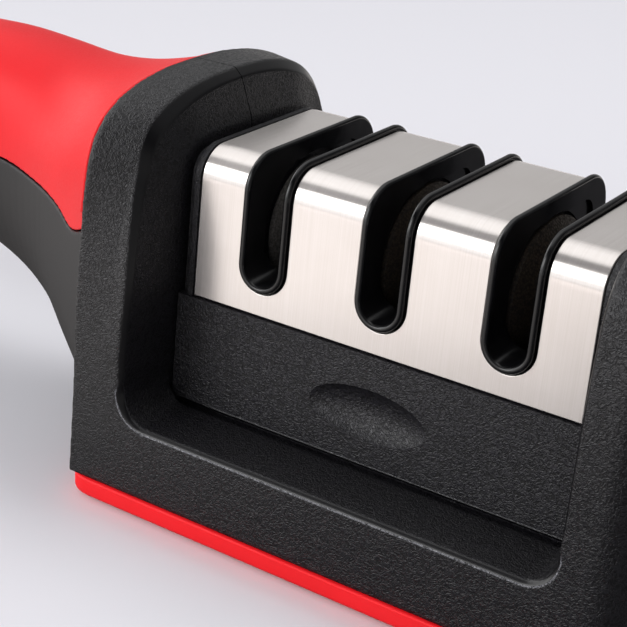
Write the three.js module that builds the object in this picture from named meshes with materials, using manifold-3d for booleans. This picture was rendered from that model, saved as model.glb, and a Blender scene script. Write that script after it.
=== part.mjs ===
// Three-stage pull-through knife sharpener with a side handle, in millimetres.
// X runs along the body, the handle towards -X. -Y is the front, +Z is up.
// The origin is on the table, below the middle of the whole length.
import * as THREE from "three";
import { mergeVertices } from "three/addons/utils/BufferGeometryUtils.js";
import Module from "manifold-3d";

const wasm = await Module();
wasm.setup();

// Clearances
const seatGap = 0.3;
const liftGap = 0.4;
const runningGap = 0.06;
const wheelGap = 0.6;
const overrun = 1;
const mergeGap = 0.0001;
const seam = 0.1;

// Knife slots and the wheels in them
const stageCount = 3;
const slotPitch = 22;
const slotWidth = 6.4;
const rimWidth = 1.1;
const rimProud = 0.9;
const slotSill = 3.65;
const wheelRadius = 12.2;
const fineWheelRadius = 11.4;
const wheelRootRadius = 5.5;
const wheelVeeGap = 0.8;
const wheelVeeWidth = 6.4;
const axleRadius = 1.5;
const axleDrop = 14.8;
const spacerRadius = 2.8;
const recessHalfDepth = 13.5;
const recessDrop = 2.5;
const recessDepth = 0.55;
const recessRadius = 4;

// Lift-out cartridge
const cartridgeEnd = 16.5;
const cartridgeHeight = 42.8;
const cartridgeTopHalfDepth = 17.2;
const cartridgeDraft = 0.07;
const foldRadius = 5.5;
const cartridgeWall = 2.2;
const cartridgeCornerRadius = 1.5;
const steelThickness = 0.8;
const steelHeight = 24.6;
const steelEndInset = 3.4;
const slotsOffset = 0.5;
const panelProud = 0.4;
const ribThickness = 2;
const thumbWidth = 21.4;
const thumbHeight = 8.6;
const thumbDepth = 2;
const thumbDrop = 34.4;
const tongueLength = 18;
const tongueDepth = 7;
const tongueDrop = 3;
const cartridgePlate = 2.2;

// Housing
const floorHeight = 16.3;
const standGap = 0.7;
const archRise = 8.6;
const baseHalfDepth = 34.4;
const kneeHalfDepth = 32.6;
const kneeHeight = 26;
const shoulderHalfDepth = 28.9;
const shoulderPinch = 3.2;
const pinchLength = 5;
const shoulderDrop = 11.9;
const ridgeSplay = 1.4;
const ridgeTopSplay = 3.1;
const endRidgeTopSplay = 1.3;
const postWidth = 9;
const endBulge = 2.2;
const endRound = 5;
const lipRadius = 5;
const housingWall = 2.4;

// Base
const footStand = 0.5;
const trimHeight = 3.6;
const trimProud = 0.5;
const trimWidth = 4;
const trimCornerRadius = 5;
const basePlateThickness = 2.2;
const footRadius = 5;
const footHeight = 1.4;
const footInsetX = 11;
const footInsetY = 12;

// Screws
const screwRadius = 1.4;
const screwHeadRadius = 2.8;
const screwHeadHeight = 1.6;
const baseScrewLength = 8;
const baseScrewInsetX = 21;
const baseScrewInsetY = 10;
const bossWall = 2.2;
const cartridgeScrewLength = 7;
const handleScrewLength = 14;

// Handle
const handleLength = 122;
const handleHeight = 40;
const handleHalfWidth = 14.5;
const handleLift = 26;
const flareLength = 38;
const flarePower = 2.4;
const gripWall = 2.6;
const gripHeight = 20;
const handleWall = 2.4;
const handleTipRadius = 0.25;
const gripStep = 0.4;

// Places worked out from the sizes above
const cartridgeBottom = floorHeight + standGap;
const cartridgeTop = cartridgeBottom + cartridgeHeight;
const archTop = cartridgeTop + archRise;
const axleHeight = cartridgeTop - axleDrop;
const steelBottom = cartridgeTop - steelHeight;
const slotBottom = steelBottom + slotSill;
const linerHalfWidth = slotWidth / 2 + rimWidth;
const slotCutHalfWidth = linerHalfWidth + seatGap;
const cartridgeHalfLength = (slotPitch * (stageCount - 1)) / 2 + cartridgeEnd;
const steelHalfLength = cartridgeHalfLength - steelEndInset;
const bayHalfLength = cartridgeHalfLength + liftGap;
const ridgeHalfLength = bayHalfLength + ridgeSplay;
const bodyHalfLength = ridgeHalfLength + postWidth;
const trimBottom = footStand;
const trimTop = trimBottom + trimHeight;
const shoulderHeight = archTop - shoulderDrop;
const firstSlot = (-slotPitch * (stageCount - 1)) / 2 - slotsOffset;
const slotPlaces = Array.from({ length: stageCount }, (_, i) => firstSlot + i * slotPitch);
const far = handleLength * 3;

// Facets of round and bent forms
const curveSteps = 4;
const fineCurveSteps = 8;
const barSides = 16;
const screwSides = 12;
const wheelSides = 28;

// Looks
function finish(color, roughness, metalness) {
  return new THREE.MeshStandardMaterial({ color, roughness, metalness });
}
const blackShell = finish(0x2c2c2f, 0.55, 0);
const blackLiner = finish(0x1c1c1e, 0.4, 0);
const redPlastic = finish(0xee3440, 0.45, 0);
const brushedSteel = finish(0xcfcac6, 0.3, 1);
const plainSteel = finish(0x9d9d9d, 0.35, 1);
const ceramic = finish(0xb9b6b0, 0.6, 0);
const diamondGrit = finish(0x5b4a3d, 0.8, 0.1);
const rubber = finish(0x232323, 0.9, 0);

// A closed mesh as a manifold solid, with faces pointing out
function solidFrom(geometry) {
  const bare = geometry.clone();
  bare.deleteAttribute("normal");
  bare.deleteAttribute("uv");
  const merged = mergeVertices(bare, mergeGap);
  const place = merged.attributes.position;
  const index = merged.index.array;
  const kept = [];
  let volume = 0;
  const a = new THREE.Vector3();
  const b = new THREE.Vector3();
  const c = new THREE.Vector3();
  for (let i = 0; i < index.length; i += 3) {
    const corners = [index[i], index[i + 1], index[i + 2]];
    if (new Set(corners).size < 3) continue;
    kept.push(...corners);
    a.fromBufferAttribute(place, corners[0]);
    b.fromBufferAttribute(place, corners[1]);
    c.fromBufferAttribute(place, corners[2]);
    volume += a.dot(b.cross(c));
  }
  if (volume < 0) kept.reverse();
  const mesh = new wasm.Mesh({
    numProp: 3,
    vertProperties: new Float32Array(place.array),
    triVerts: new Uint32Array(kept),
  });
  return new wasm.Manifold(mesh);
}

function geometryFrom(solid) {
  const mesh = solid.getMesh();
  const geometry = new THREE.BufferGeometry();
  geometry.setAttribute("position", new THREE.BufferAttribute(new Float32Array(mesh.vertProperties), 3));
  geometry.setIndex(new THREE.BufferAttribute(new Uint32Array(mesh.triVerts), 1));
  geometry.computeVertexNormals();
  return geometry;
}

function cut(solid, ...tools) {
  return tools.flat().reduce((rest, tool) => rest.subtract(tool), solid);
}

function join(...solids) {
  return solids.flat().reduce((whole, solid) => whole.add(solid));
}

// A box between two corners
function box(low, high) {
  const size = high.map((value, i) => value - low[i]);
  const geometry = new THREE.BoxGeometry(...size);
  geometry.translate(...low.map((value, i) => value + size[i] / 2));
  return solidFrom(geometry);
}

// An outline pulled along one axis: drawn in (Y, Z) for X, in (X, Z) for Y and in (X, Y) for Z
function pull(shape, axis, from, to, curveSegments = curveSteps) {
  const settings = { depth: to - from, bevelEnabled: false, curveSegments };
  const geometry = new THREE.ExtrudeGeometry(shape, settings);
  const x = new THREE.Vector3(1, 0, 0);
  const y = new THREE.Vector3(0, 1, 0);
  const z = new THREE.Vector3(0, 0, 1);
  const turn = new THREE.Matrix4();
  const start = { x: [from, 0, 0], y: [0, to, 0], z: [0, 0, from] }[axis];
  if (axis === "x") turn.makeBasis(y, z, x);
  if (axis === "y") turn.makeBasis(x, z, y.negate());
  geometry.applyMatrix4(turn);
  geometry.translate(...start);
  return solidFrom(geometry);
}

// A round bar along an axis, with its end centres at from and to
function bar(radius, axis, centre, from, to, sides = barSides) {
  const geometry = new THREE.CylinderGeometry(radius, radius, to - from, sides);
  if (axis === "x") geometry.rotateZ(Math.PI / 2);
  if (axis === "z") geometry.rotateX(Math.PI / 2);
  const middle = (from + to) / 2;
  const place = { x: [middle, ...centre], y: [centre[0], middle, centre[1]], z: [...centre, middle] }[axis];
  geometry.translate(...place);
  return solidFrom(geometry);
}

// A closed skin over rings of points, with a fan over each end
function skin(rings) {
  const count = rings[0].length;
  const corners = rings.flat();
  const faces = [];
  for (let r = 0; r + 1 < rings.length; r += 1) {
    for (let i = 0; i < count; i += 1) {
      const a = r * count + i;
      const b = r * count + ((i + 1) % count);
      faces.push(a, b, a + count, b, b + count, a + count);
    }
  }
  for (const last of [false, true]) {
    const first = last ? (rings.length - 1) * count : 0;
    const ring = last ? rings[rings.length - 1] : rings[0];
    const middle = ring.reduce((sum, p) => sum.add(p), new THREE.Vector3()).divideScalar(count);
    corners.push(middle);
    for (let i = 0; i < count; i += 1) {
      const pair = [first + i, first + ((i + 1) % count)];
      faces.push(corners.length - 1, ...(last ? pair : pair.reverse()));
    }
  }
  const geometry = new THREE.BufferGeometry().setFromPoints(corners);
  geometry.setIndex(faces);
  return solidFrom(geometry);
}

// The housing's cross-section: leaning legs, round shoulders and a nearly flat top
const shoulderRiseShare = 0.59;
const shoulderTurnShare = 0.935;
const crownTurnShare = 0.72;
const legTurnHeightShare = 0.62;
const legTurnDepthShare = 0.73;

function archOutline(inset, bottom, pinch = 0) {
  const shape = new THREE.Shape();
  const foot = baseHalfDepth - inset;
  const knee = kneeHalfDepth - inset;
  const shoulder = shoulderHalfDepth - inset - pinch;
  const top = archTop - inset;
  const turnY = shoulder + (knee - shoulder) * legTurnDepthShare;
  const turnZ = kneeHeight + (shoulderHeight - kneeHeight) * legTurnHeightShare;
  const riseZ = shoulderHeight + (top - shoulderHeight) * shoulderRiseShare;
  const crown = shoulder * crownTurnShare;
  const bend = shoulder * shoulderTurnShare;
  shape.moveTo(foot, bottom);
  shape.lineTo(knee, kneeHeight);
  shape.quadraticCurveTo(turnY, turnZ, shoulder, shoulderHeight);
  shape.bezierCurveTo(bend, riseZ, crown, top, 0, top);
  shape.bezierCurveTo(-crown, top, -bend, riseZ, -shoulder, shoulderHeight);
  shape.quadraticCurveTo(-turnY, turnZ, -knee, kneeHeight);
  shape.lineTo(-foot, bottom);
  shape.closePath();
  return shape;
}

// The cartridge's cross-section, offset outwards by grow
function cartridgeOutline(grow, bottom, top = cartridgeTop) {
  const shape = new THREE.Shape();
  const radius = foldRadius + Math.max(grow, -foldRadius / 2);
  const crown = top + grow;
  const depthAt = (z) => cartridgeTopHalfDepth + grow + cartridgeDraft * (top - z);
  const fold = depthAt(crown - radius);
  shape.moveTo(depthAt(bottom), bottom);
  shape.lineTo(fold, crown - radius);
  shape.absarc(fold - radius, crown - radius, radius, 0, Math.PI / 2, false);
  shape.absarc(radius - fold, crown - radius, radius, Math.PI / 2, Math.PI, false);
  shape.lineTo(-depthAt(bottom), bottom);
  shape.closePath();
  return shape;
}

// A slot with a round bottom, open at the top, in (X, Z)
function slotOutline(halfWidth, bottom, top) {
  const shape = new THREE.Shape();
  shape.moveTo(halfWidth, top);
  shape.lineTo(-halfWidth, top);
  shape.lineTo(-halfWidth, bottom + halfWidth);
  shape.absarc(0, bottom + halfWidth, halfWidth, Math.PI, 2 * Math.PI, false);
  shape.closePath();
  return shape;
}

function roundedPlate(halfLength, halfDepth, radius, bulge) {
  const shape = new THREE.Shape();
  const left = -halfLength;
  shape.moveTo(left + radius, -halfDepth);
  shape.lineTo(halfLength - radius, -halfDepth);
  shape.quadraticCurveTo(halfLength, -halfDepth, halfLength, -halfDepth + radius);
  shape.lineTo(halfLength, halfDepth - radius);
  shape.quadraticCurveTo(halfLength, halfDepth, halfLength - radius, halfDepth);
  shape.lineTo(left + radius, halfDepth);
  shape.quadraticCurveTo(left, halfDepth, left, halfDepth - radius);
  shape.quadraticCurveTo(left - bulge * 2, 0, left, -halfDepth + radius);
  shape.quadraticCurveTo(left, -halfDepth, left + radius, -halfDepth);
  return shape;
}

// Points of an outline as a ring at one place along X
function ringAt(shape, x, divisions) {
  const points = shape.getPoints(divisions);
  if (points[points.length - 1].distanceTo(points[0]) < mergeGap) points.pop();
  return points.map((p) => new THREE.Vector3(x, p.x, p.y));
}

// The body's outer form: its shoulders pinched in at the handle post's ridge, its right end rounded over
const pinchShares = [[1, 0], [0.7, 0.25], [0.4, 0.75], [0.1, 1], [-1, 1], [-3, 0]];
const endRoundSteps = 4;

function bodyForm(inset, bottom, divisions) {
  const start = -bodyHalfLength - endBulge - overrun;
  const rings = [ringAt(archOutline(inset, bottom), start, divisions)];
  pinchShares.forEach(([along, share]) => {
    const x = -ridgeHalfLength - along * pinchLength;
    rings.push(ringAt(archOutline(inset, bottom, share * shoulderPinch), x, divisions));
  });
  for (let i = 0; i <= endRoundSteps; i += 1) {
    const angle = (i / endRoundSteps) * (Math.PI / 2);
    const x = bodyHalfLength - endRound + (endRound - inset) * Math.sin(angle);
    rings.push(ringAt(archOutline(inset + endRound * (1 - Math.cos(angle)), bottom), x, divisions));
  }
  const plan = roundedPlate(bodyHalfLength - inset, baseHalfDepth + overrun, overrun, endBulge);
  return skin(rings).intersect(pull(plan, "z", bottom - overrun, archTop + overrun, fineCurveSteps));
}

// What is taken away between the posts: the bay. Its sides splay from the cartridge out to the ridges and
// end in a short straight wall.
const ridgeSplayStartShare = 0.3;
const ridgeSplayEndShare = 0.72;
const ridgeWallShare = 0.87;

const bayCutterSteps = 30;
const bayReachShare = 1.3;

function bayCutter(side) {
  const inner = cartridgeOutline(liftGap, floorHeight);
  const outer = archOutline(0, floorHeight);
  const topSplay = side < 0 ? ridgeTopSplay : endRidgeTopSplay;
  const splayAt = (z) => {
    const share = THREE.MathUtils.smoothstep(z / archTop, ridgeSplayStartShare, ridgeSplayEndShare);
    return ridgeSplay + (topSplay - ridgeSplay) * share;
  };
  const even = (shape) => {
    const points = shape.getPoints(fineCurveSteps);
    const path = new THREE.CurvePath();
    for (let i = 0; i + 1 < points.length; i += 1) path.add(new THREE.LineCurve(points[i], points[i + 1]));
    return path.getSpacedPoints(bayCutterSteps);
  };
  const near = even(openOutline(inner));
  const wide = even(openOutline(outer));
  const ring = (share, place) =>
    near.map((p, i) => {
      const q = p.clone().lerp(wide[i], share);
      return new THREE.Vector3(side * place(q, share), q.x, q.y);
    });
  const onFace = (q, share) => bayHalfLength + splayAt(q.y) * Math.min(share / ridgeWallShare, 1);
  return skin([
    ring(0, onFace),
    ring(ridgeWallShare, onFace),
    ring(bayReachShare, onFace),
    ring(bayReachShare, () => bayHalfLength - ribThickness * 4),
  ]);
}

// The same outline without its closing edge, so that its ends stay at the floor
function openOutline(shape) {
  const open = new THREE.Path();
  const curves = shape.curves.slice(0, -1);
  curves.forEach((curve) => open.curves.push(curve));
  return open;
}

const lipFilletSteps = 6;

function lipFillet(side, front) {
  const ringFor = (y, corner) => {
    const points = [[-overrun, -overrun], [lipRadius, -overrun]];
    for (let i = 0; i <= lipFilletSteps; i += 1) {
      const angle = (i / lipFilletSteps) * (Math.PI / 2);
      points.push([lipRadius * (1 - Math.sin(angle)), lipRadius * (1 - Math.cos(angle))]);
    }
    points.push([-overrun, lipRadius]);
    return points.map(([u, v]) => new THREE.Vector3(side * (corner - u), front * y, floorHeight + v));
  };
  const inner = cartridgeTopHalfDepth + cartridgeDraft * cartridgeHeight + liftGap * 2 + panelProud;
  const outer = baseHalfDepth + overrun;
  return skin([ringFor(inner, bayHalfLength), ringFor(outer, ridgeHalfLength)]);
}

// Distance from a centre to an outline along an angle
function reach(points, centreZ, angle) {
  const dy = Math.cos(angle);
  const dz = Math.sin(angle);
  let best = 0;
  points.forEach((p, i) => {
    const q = points[(i + 1) % points.length];
    const ey = q.x - p.x;
    const ez = q.y - p.y;
    const cross = dy * ez - dz * ey;
    if (Math.abs(cross) < Number.EPSILON) return;
    const along = (p.x * ez - (p.y - centreZ) * ey) / cross;
    const share = (p.x * dz - (p.y - centreZ) * dy) / cross;
    if (share >= 0 && share <= 1 && along > best) best = along;
  });
  return best;
}

// Handle lines as shares: along the handle, its top, its bottom and its half width
const handleLineShares = [
  [0, 0.95, -0.53, 1.4],
  [0.1, 0.94, -0.435, 1.25],
  [0.18, 0.95, -0.27, 1.12],
  [0.27, 0.985, -0.12, 1.04],
  [0.37, 1, -0.01, 1],
  [0.52, 0.97, 0.06, 1],
  [0.7, 0.9, 0.05, 1.04],
  [0.85, 0.83, 0.03, 1],
  [1, 0.75, 0.03, 0.9],
];
const handleRoundness = 2.3;
const handleSides = 28;
const handleCoreSides = 20;
const handleInnerSides = 14;
const handleStationShares = [
  0, 0.02, 0.05, 0.09, 0.14, 0.2, 0.27, 0.35, 0.45, 0.57, 0.7, 0.82, 0.9, 0.95, 0.98, 0.995,
];
const endCapShare = 0.86;

function handleLines(share) {
  const last = handleLineShares.length - 1;
  let i = handleLineShares.findIndex((row, k) => k < last && share <= handleLineShares[k + 1][0]);
  if (i < 0) i = last - 1;
  const row = (k) => handleLineShares[Math.min(Math.max(k, 0), last)];
  const t = (share - row(i)[0]) / (row(i + 1)[0] - row(i)[0]);
  const blend = (n) => {
    const slopeA = (row(i + 1)[n] - row(i - 1)[n]) / (row(i + 1)[0] - row(i - 1)[0]);
    const slopeB = (row(i + 2)[n] - row(i)[n]) / (row(i + 2)[0] - row(i)[0]);
    const span = row(i + 1)[0] - row(i)[0];
    const start = 2 * t ** 3 - 3 * t ** 2 + 1;
    const startSlope = t ** 3 - 2 * t ** 2 + t;
    const endSlope = t ** 3 - t ** 2;
    const places = start * row(i)[n] + (1 - start) * row(i + 1)[n];
    return places + span * (startSlope * slopeA + endSlope * slopeB);
  };
  return {
    top: handleLift + handleHeight * blend(1),
    bottom: handleLift + handleHeight * blend(2),
    halfWidth: handleHalfWidth * blend(3),
  };
}

// The end outline that the handle flares out to: the arch above the knee, a round belly below it
const bellyShare = 0.3;
const bellySteps = 10;
const flareSteps = 16;

function flareOutline() {
  const shape = archOutline(gripStep, 0);
  const upper = shape.getPoints(flareSteps).filter((p) => p.y > kneeHeight - overrun / 2);
  const low = kneeHeight * bellyShare;
  const side = gripStep - kneeHalfDepth;
  const belly = new THREE.CubicBezierCurve(
    new THREE.Vector2(side, kneeHeight),
    new THREE.Vector2(side, (kneeHeight + low) / 2),
    new THREE.Vector2(side * crownTurnShare, low),
    new THREE.Vector2(0, low),
  );
  const left = belly.getPoints(bellySteps).slice(1);
  const right = left.slice(0, -1).reverse().map((p) => new THREE.Vector2(-p.x, p.y));
  return [...upper, ...left, ...right];
}

function handleForm(inset, sides, step = 1) {
  const flare = flareOutline();
  const flareCentre = (archTop + kneeHeight * bellyShare) / 2;
  const rings = [];
  const ringFor = (share, extra, back) => {
    const x = -bodyHalfLength - share * handleLength + back;
    const flareShare = Math.min((share * handleLength) / flareLength, 1);
    const blend = 1 - (1 - flareShare) ** flarePower;
    const line = handleLines(share);
    const capShare = Math.max((share - endCapShare) / (1 - endCapShare), 0);
    const cap = Math.sqrt(Math.max(1 - capShare ** 2, 0));
    const halfHeight = ((line.top - line.bottom) / 2) * cap;
    const halfWidth = line.halfWidth * cap;
    const centre = THREE.MathUtils.lerp(flareCentre, (line.top + line.bottom) / 2, blend);
    return Array.from({ length: sides }, (_, i) => {
      const angle = (i / sides) * 2 * Math.PI;
      const cos = Math.cos(angle);
      const sin = Math.sin(angle);
      const across = (Math.abs(cos) / halfWidth) ** handleRoundness;
      const upward = (Math.abs(sin) / halfHeight) ** handleRoundness;
      const oval = (across + upward) ** (-1 / handleRoundness);
      const wide = reach(flare, flareCentre, angle);
      const radius = Math.max(THREE.MathUtils.lerp(wide, oval, blend) - inset - extra, handleTipRadius);
      const y = radius * cos;
      const bow = endBulge * (1 - (y / kneeHalfDepth) ** 2) * (1 - blend);
      return new THREE.Vector3(x - bow, y, centre + radius * sin);
    });
  };
  rings.push(ringFor(0, seatGap, endBulge));
  handleStationShares
    .filter((share, i) => i % step === 0)
    .forEach((share) => rings.push(ringFor(share, share === 0 ? seatGap : 0, 0)));
  return skin(rings);
}

// The line where the red grip meets the black handle, in (X, Z), seen from the front
const gripLineShares = [
  [0, 0.02],
  [0.05, -0.1],
  [0.11, -0.05],
  [0.19, -0.01],
  [0.28, 0.055],
  [0.45, 0.08],
  [0.65, 0.06],
  [0.84, 0.04],
];
const gripEndShare = 0.955;

function gripOutline(grow) {
  const place = ([along, up]) =>
    new THREE.Vector2(-bodyHalfLength - along * handleLength, handleLift + gripHeight * (1 + up) - grow);
  const shape = new THREE.Shape();
  const points = gripLineShares.map(place);
  const end = -bodyHalfLength - gripEndShare * handleLength - grow;
  shape.moveTo(overrun - ridgeHalfLength, far);
  shape.lineTo(overrun - ridgeHalfLength, points[0].y);
  shape.lineTo(points[0].x, points[0].y);
  shape.splineThru(points.slice(1));
  shape.quadraticCurveTo(end, points[points.length - 1].y, end, archTop);
  shape.lineTo(end, far);
  shape.closePath();
  return shape;
}

const group = new THREE.Group();

// The origin goes below the middle of the whole length, handle included
const handleEnd = bodyHalfLength + handleStationShares.at(-1) * handleLength;
const trimHalfLength = bodyHalfLength + trimProud;
const centreShift = [(handleEnd - trimHalfLength) / 2, 0, 0];

function add(name, solid, material) {
  const mesh = new THREE.Mesh(geometryFrom(solid.translate(centreShift)), material);
  mesh.name = name;
  group.add(mesh);
}

// The four places this far from the body's middle, in (X, Y)
function cornerPlaces(x, y) {
  return [-1, 1].flatMap((side) => [[side * x, -y], [side * x, y]]);
}

// Housing, made whole and then parted along the middle plane
const baseScrewPlaces = cornerPlaces(bodyHalfLength - baseScrewInsetX, baseHalfDepth - baseScrewInsetY);
const handleScrewShares = [0.42, 0.74];
const handleScrewRiseShare = 0.64;
const handleScrewPlaces = handleScrewShares.map((share) => {
  const line = handleLines(share);
  const height = THREE.MathUtils.lerp(line.bottom, line.top, handleScrewRiseShare);
  return [-bodyHalfLength - share * handleLength, height];
});

const bodySolid = bodyForm(0, trimTop, curveSteps + 1);
const bayHalf = bayHalfLength - ribThickness * 3;
const bay = join(
  box([-bayHalf, -far, floorHeight], [bayHalf, far, far]),
  bayCutter(-1),
  bayCutter(1),
);
const fillets = [-1, 1].flatMap((side) => [lipFillet(side, -1), lipFillet(side, 1)]);

const gripZone = (grow) => pull(gripOutline(grow), "y", -far, far);
const handleOuter = handleForm(0, handleSides);
const handleCore = handleForm(gripWall + seatGap, handleCoreSides);
const handleInner = handleForm(handleWall, handleInnerSides, 3);
const coreInner = handleForm(gripWall + seatGap + handleWall, handleInnerSides, 3);
const handleSolid = join(cut(handleOuter, gripZone(seatGap)), handleCore);
const hollowHandle = join(cut(handleInner, gripZone(handleWall)), coreInner);

const innerHalfLength = bodyHalfLength - housingWall;
const hollowForm = bodyForm(housingWall, trimTop - overrun, curveSteps / 2);
const baseHollow = hollowForm.intersect(
  box([-innerHalfLength, -far, -far], [innerHalfLength, far, floorHeight - housingWall]),
);
const ridgeTopHalfLength = bayHalfLength + ridgeTopSplay;
const postHollow = hollowForm.intersect(join(
  box([-innerHalfLength, -far, -far], [-ridgeTopHalfLength - housingWall, far, far]),
  box([ridgeTopHalfLength + housingWall, -far, -far], [innerHalfLength, far, far]),
));

const tonguePlaces = [slotPlaces[0], slotPlaces[stageCount - 1]];
const tongueSockets = tonguePlaces.map((x) =>
  box(
    [x - tongueLength / 2 - liftGap, -tongueDepth / 2 - liftGap, floorHeight - housingWall - overrun],
    [x + tongueLength / 2 + liftGap, tongueDepth / 2 + liftGap, floorHeight + overrun],
  ));

const bossRadius = screwRadius + bossWall;
const baseScrewTop = trimBottom + basePlateThickness + baseScrewLength;
const baseBosses = baseScrewPlaces.map((place) =>
  bar(bossRadius, "z", place, trimBottom + basePlateThickness, floorHeight - overrun));
const baseScrewHoles = baseScrewPlaces.map((place) =>
  bar(screwRadius + seatGap, "z", place, 0, baseScrewTop + overrun, screwSides));
const handleBossReach = handleHalfWidth - gripWall;
const handleBosses = handleScrewPlaces.map((place) =>
  bar(bossRadius, "y", place, -handleBossReach, handleBossReach).intersect(handleCore));
const handleScrewEnd = -handleScrewLength / 2;
const handleScrewHoles = handleScrewPlaces.map((place) =>
  bar(screwRadius + seatGap, "y", place, handleScrewEnd - overrun, handleHalfWidth * 2, screwSides));
const handleHeadPlace = handleHalfWidth - gripWall * 2 - screwHeadHeight;
const handleHeadHoles = handleScrewPlaces.map((place) =>
  bar(screwHeadRadius + seatGap, "y", place, handleHeadPlace, handleHalfWidth * 2));

const hollows = [baseHollow, postHollow, hollowHandle];
const filletSolids = fillets.map((fillet) => fillet.intersect(bodySolid));
const shellWhole = cut(
  join(
    cut(join(cut(bodySolid, bay), filletSolids, handleSolid), hollows),
    baseBosses,
    handleBosses,
  ),
  baseScrewHoles,
  handleScrewHoles,
  handleHeadHoles,
  tongueSockets,
);
const frontHalf = box([-far, -far, -far], [far, -seam / 2, far]);
const rearHalf = box([-far, seam / 2, -far], [far, far, far]);
add("front_shell", shellWhole.intersect(frontHalf), blackShell);
add("rear_shell", shellWhole.intersect(rearHalf), blackShell);

// Red grip, a saddle over the handle's core
const gripBody = bodyForm(-seatGap, trimTop, curveSteps + 1);
const gripCore = handleForm(gripWall, handleSides);
add("grip_cover", cut(handleOuter.intersect(gripZone(0)), gripCore, gripBody), redPlastic);

for (const [i, place] of handleScrewPlaces.entries()) {
  const headStart = handleHeadPlace + seatGap;
  const head = bar(screwHeadRadius, "y", place, headStart, handleHeadPlace + screwHeadHeight);
  const shank = bar(screwRadius, "y", place, handleScrewEnd, headStart + overrun, screwSides);
  add(`handle_screw_${i + 1}`, join(head, shank), plainSteel);
}

// Red strip round the foot of the housing
const trimHalfDepth = baseHalfDepth + trimProud;
const plateHalfLength = trimHalfLength - trimWidth;
const plateHalfDepth = trimHalfDepth - trimWidth;
const plateBulge = endBulge / 2;
const trimPlan = roundedPlate(trimHalfLength, trimHalfDepth, trimCornerRadius, plateBulge);
const platePlan = (grow) =>
  roundedPlate(plateHalfLength + grow, plateHalfDepth + grow, overrun, plateBulge);
const trimSolid = pull(trimPlan, "z", trimBottom, trimTop, fineCurveSteps);
add("base_trim", cut(trimSolid, pull(platePlan(0), "z", 0, trimTop + overrun)), redPlastic);

// Bottom cover with its feet and screws
const footPlaces = cornerPlaces(bodyHalfLength - footInsetX, baseHalfDepth - footInsetY);
const footPocketTop = footHeight + seatGap;
const baseScrewHeadTop = trimBottom + screwHeadHeight / 2;
add(
  "base_plate",
  cut(
    pull(platePlan(-seatGap), "z", trimBottom, trimBottom + basePlateThickness),
    footPlaces.map((place) => bar(footRadius + seatGap, "z", place, 0, footPocketTop)),
    baseScrewPlaces.map((place) => bar(screwRadius + seatGap, "z", place, 0, trimTop, screwSides)),
    baseScrewPlaces.map((place) =>
      bar(screwHeadRadius + seatGap, "z", place, 0, baseScrewHeadTop + seatGap, screwSides)),
  ),
  blackShell,
);
footPlaces.forEach((place, i) => add(`foot_${i + 1}`, bar(footRadius, "z", place, 0, footHeight), rubber));
baseScrewPlaces.forEach((place, i) => {
  const head = bar(screwHeadRadius, "z", place, trimBottom, baseScrewHeadTop, screwSides);
  const shank = bar(screwRadius, "z", place, trimBottom, baseScrewTop, screwSides);
  add(`base_screw_${i + 1}`, join(head, shank), plainSteel);
});

// Cartridge: a hollow black case, the steel cover over it and a plate below
const steelInset = steelThickness + seatGap;
const slotTools = (halfWidth, bottom, axisTop) => slotPlaces.map((x) =>
  pull(slotOutline(halfWidth, bottom, axisTop), "y", -far, far).translate([x, 0, 0]));
const panelOutline = cartridgeOutline(panelProud, cartridgeBottom, cartridgeTop);
const caseEnds = cartridgeOutline(0, cartridgeBottom);
const caseCore = cartridgeOutline(-steelInset, cartridgeBottom);
const steelEnds = [-steelHalfLength - slotsOffset, steelHalfLength - slotsOffset];

function caseOuter() {
  const ends = pull(caseEnds, "x", -cartridgeHalfLength, cartridgeHalfLength);
  const core = pull(caseCore, "x", -cartridgeHalfLength, cartridgeHalfLength);
  const steelZone = box(
    [steelEnds[0] - seatGap, -far, steelBottom - seatGap],
    [steelEnds[1] + seatGap, far, far],
  );
  const panels = pull(panelOutline, "x", -cartridgeHalfLength, cartridgeHalfLength)
    .intersect(box([-far, -far, -far], [far, far, steelBottom - seatGap]));
  const corner = new THREE.Shape();
  corner.moveTo(-cartridgeHalfLength, cartridgeTop + overrun);
  corner.lineTo(-cartridgeHalfLength, cartridgeBottom + cartridgeCornerRadius);
  corner.quadraticCurveTo(
    -cartridgeHalfLength, cartridgeBottom, cartridgeCornerRadius - cartridgeHalfLength, cartridgeBottom);
  corner.lineTo(cartridgeHalfLength - cartridgeCornerRadius, cartridgeBottom);
  corner.quadraticCurveTo(
    cartridgeHalfLength, cartridgeBottom, cartridgeHalfLength, cartridgeBottom + cartridgeCornerRadius);
  corner.lineTo(cartridgeHalfLength, cartridgeTop + overrun);
  corner.closePath();
  return join(cut(ends, steelZone), core, panels).intersect(pull(corner, "y", -far, far));
}

const caseHollowHalfLength = cartridgeHalfLength - cartridgeWall;
const caseHollow = pull(
  cartridgeOutline(-steelInset - cartridgeWall, cartridgeBottom - overrun),
  "x",
  -caseHollowHalfLength,
  caseHollowHalfLength,
);
const ribPlaces = Array.from({ length: stageCount + 1 }, (_, i) => slotPlaces[0] + (i - 0.5) * slotPitch);
const plateTop = cartridgeBottom + cartridgePlate;
const ribOutline = cartridgeOutline(-steelInset - overrun, plateTop + seatGap);
const ribs = ribPlaces.map((x) => pull(ribOutline, "x", x - ribThickness / 2, x + ribThickness / 2));

// A shallow oval dish for the thumb, front and rear
function thumbDish(front) {
  const chord = thumbHeight / 2;
  const radius = (chord ** 2 + thumbDepth ** 2) / (2 * thumbDepth);
  const geometry = new THREE.SphereGeometry(radius, wheelSides, barSides);
  geometry.scale(thumbWidth / thumbHeight, 1, 1);
  const z = cartridgeTop - thumbDrop;
  const face = cartridgeTopHalfDepth + panelProud + cartridgeDraft * thumbDrop;
  geometry.translate(-slotsOffset, front * (face + radius - thumbDepth), z);
  return solidFrom(geometry);
}

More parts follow.
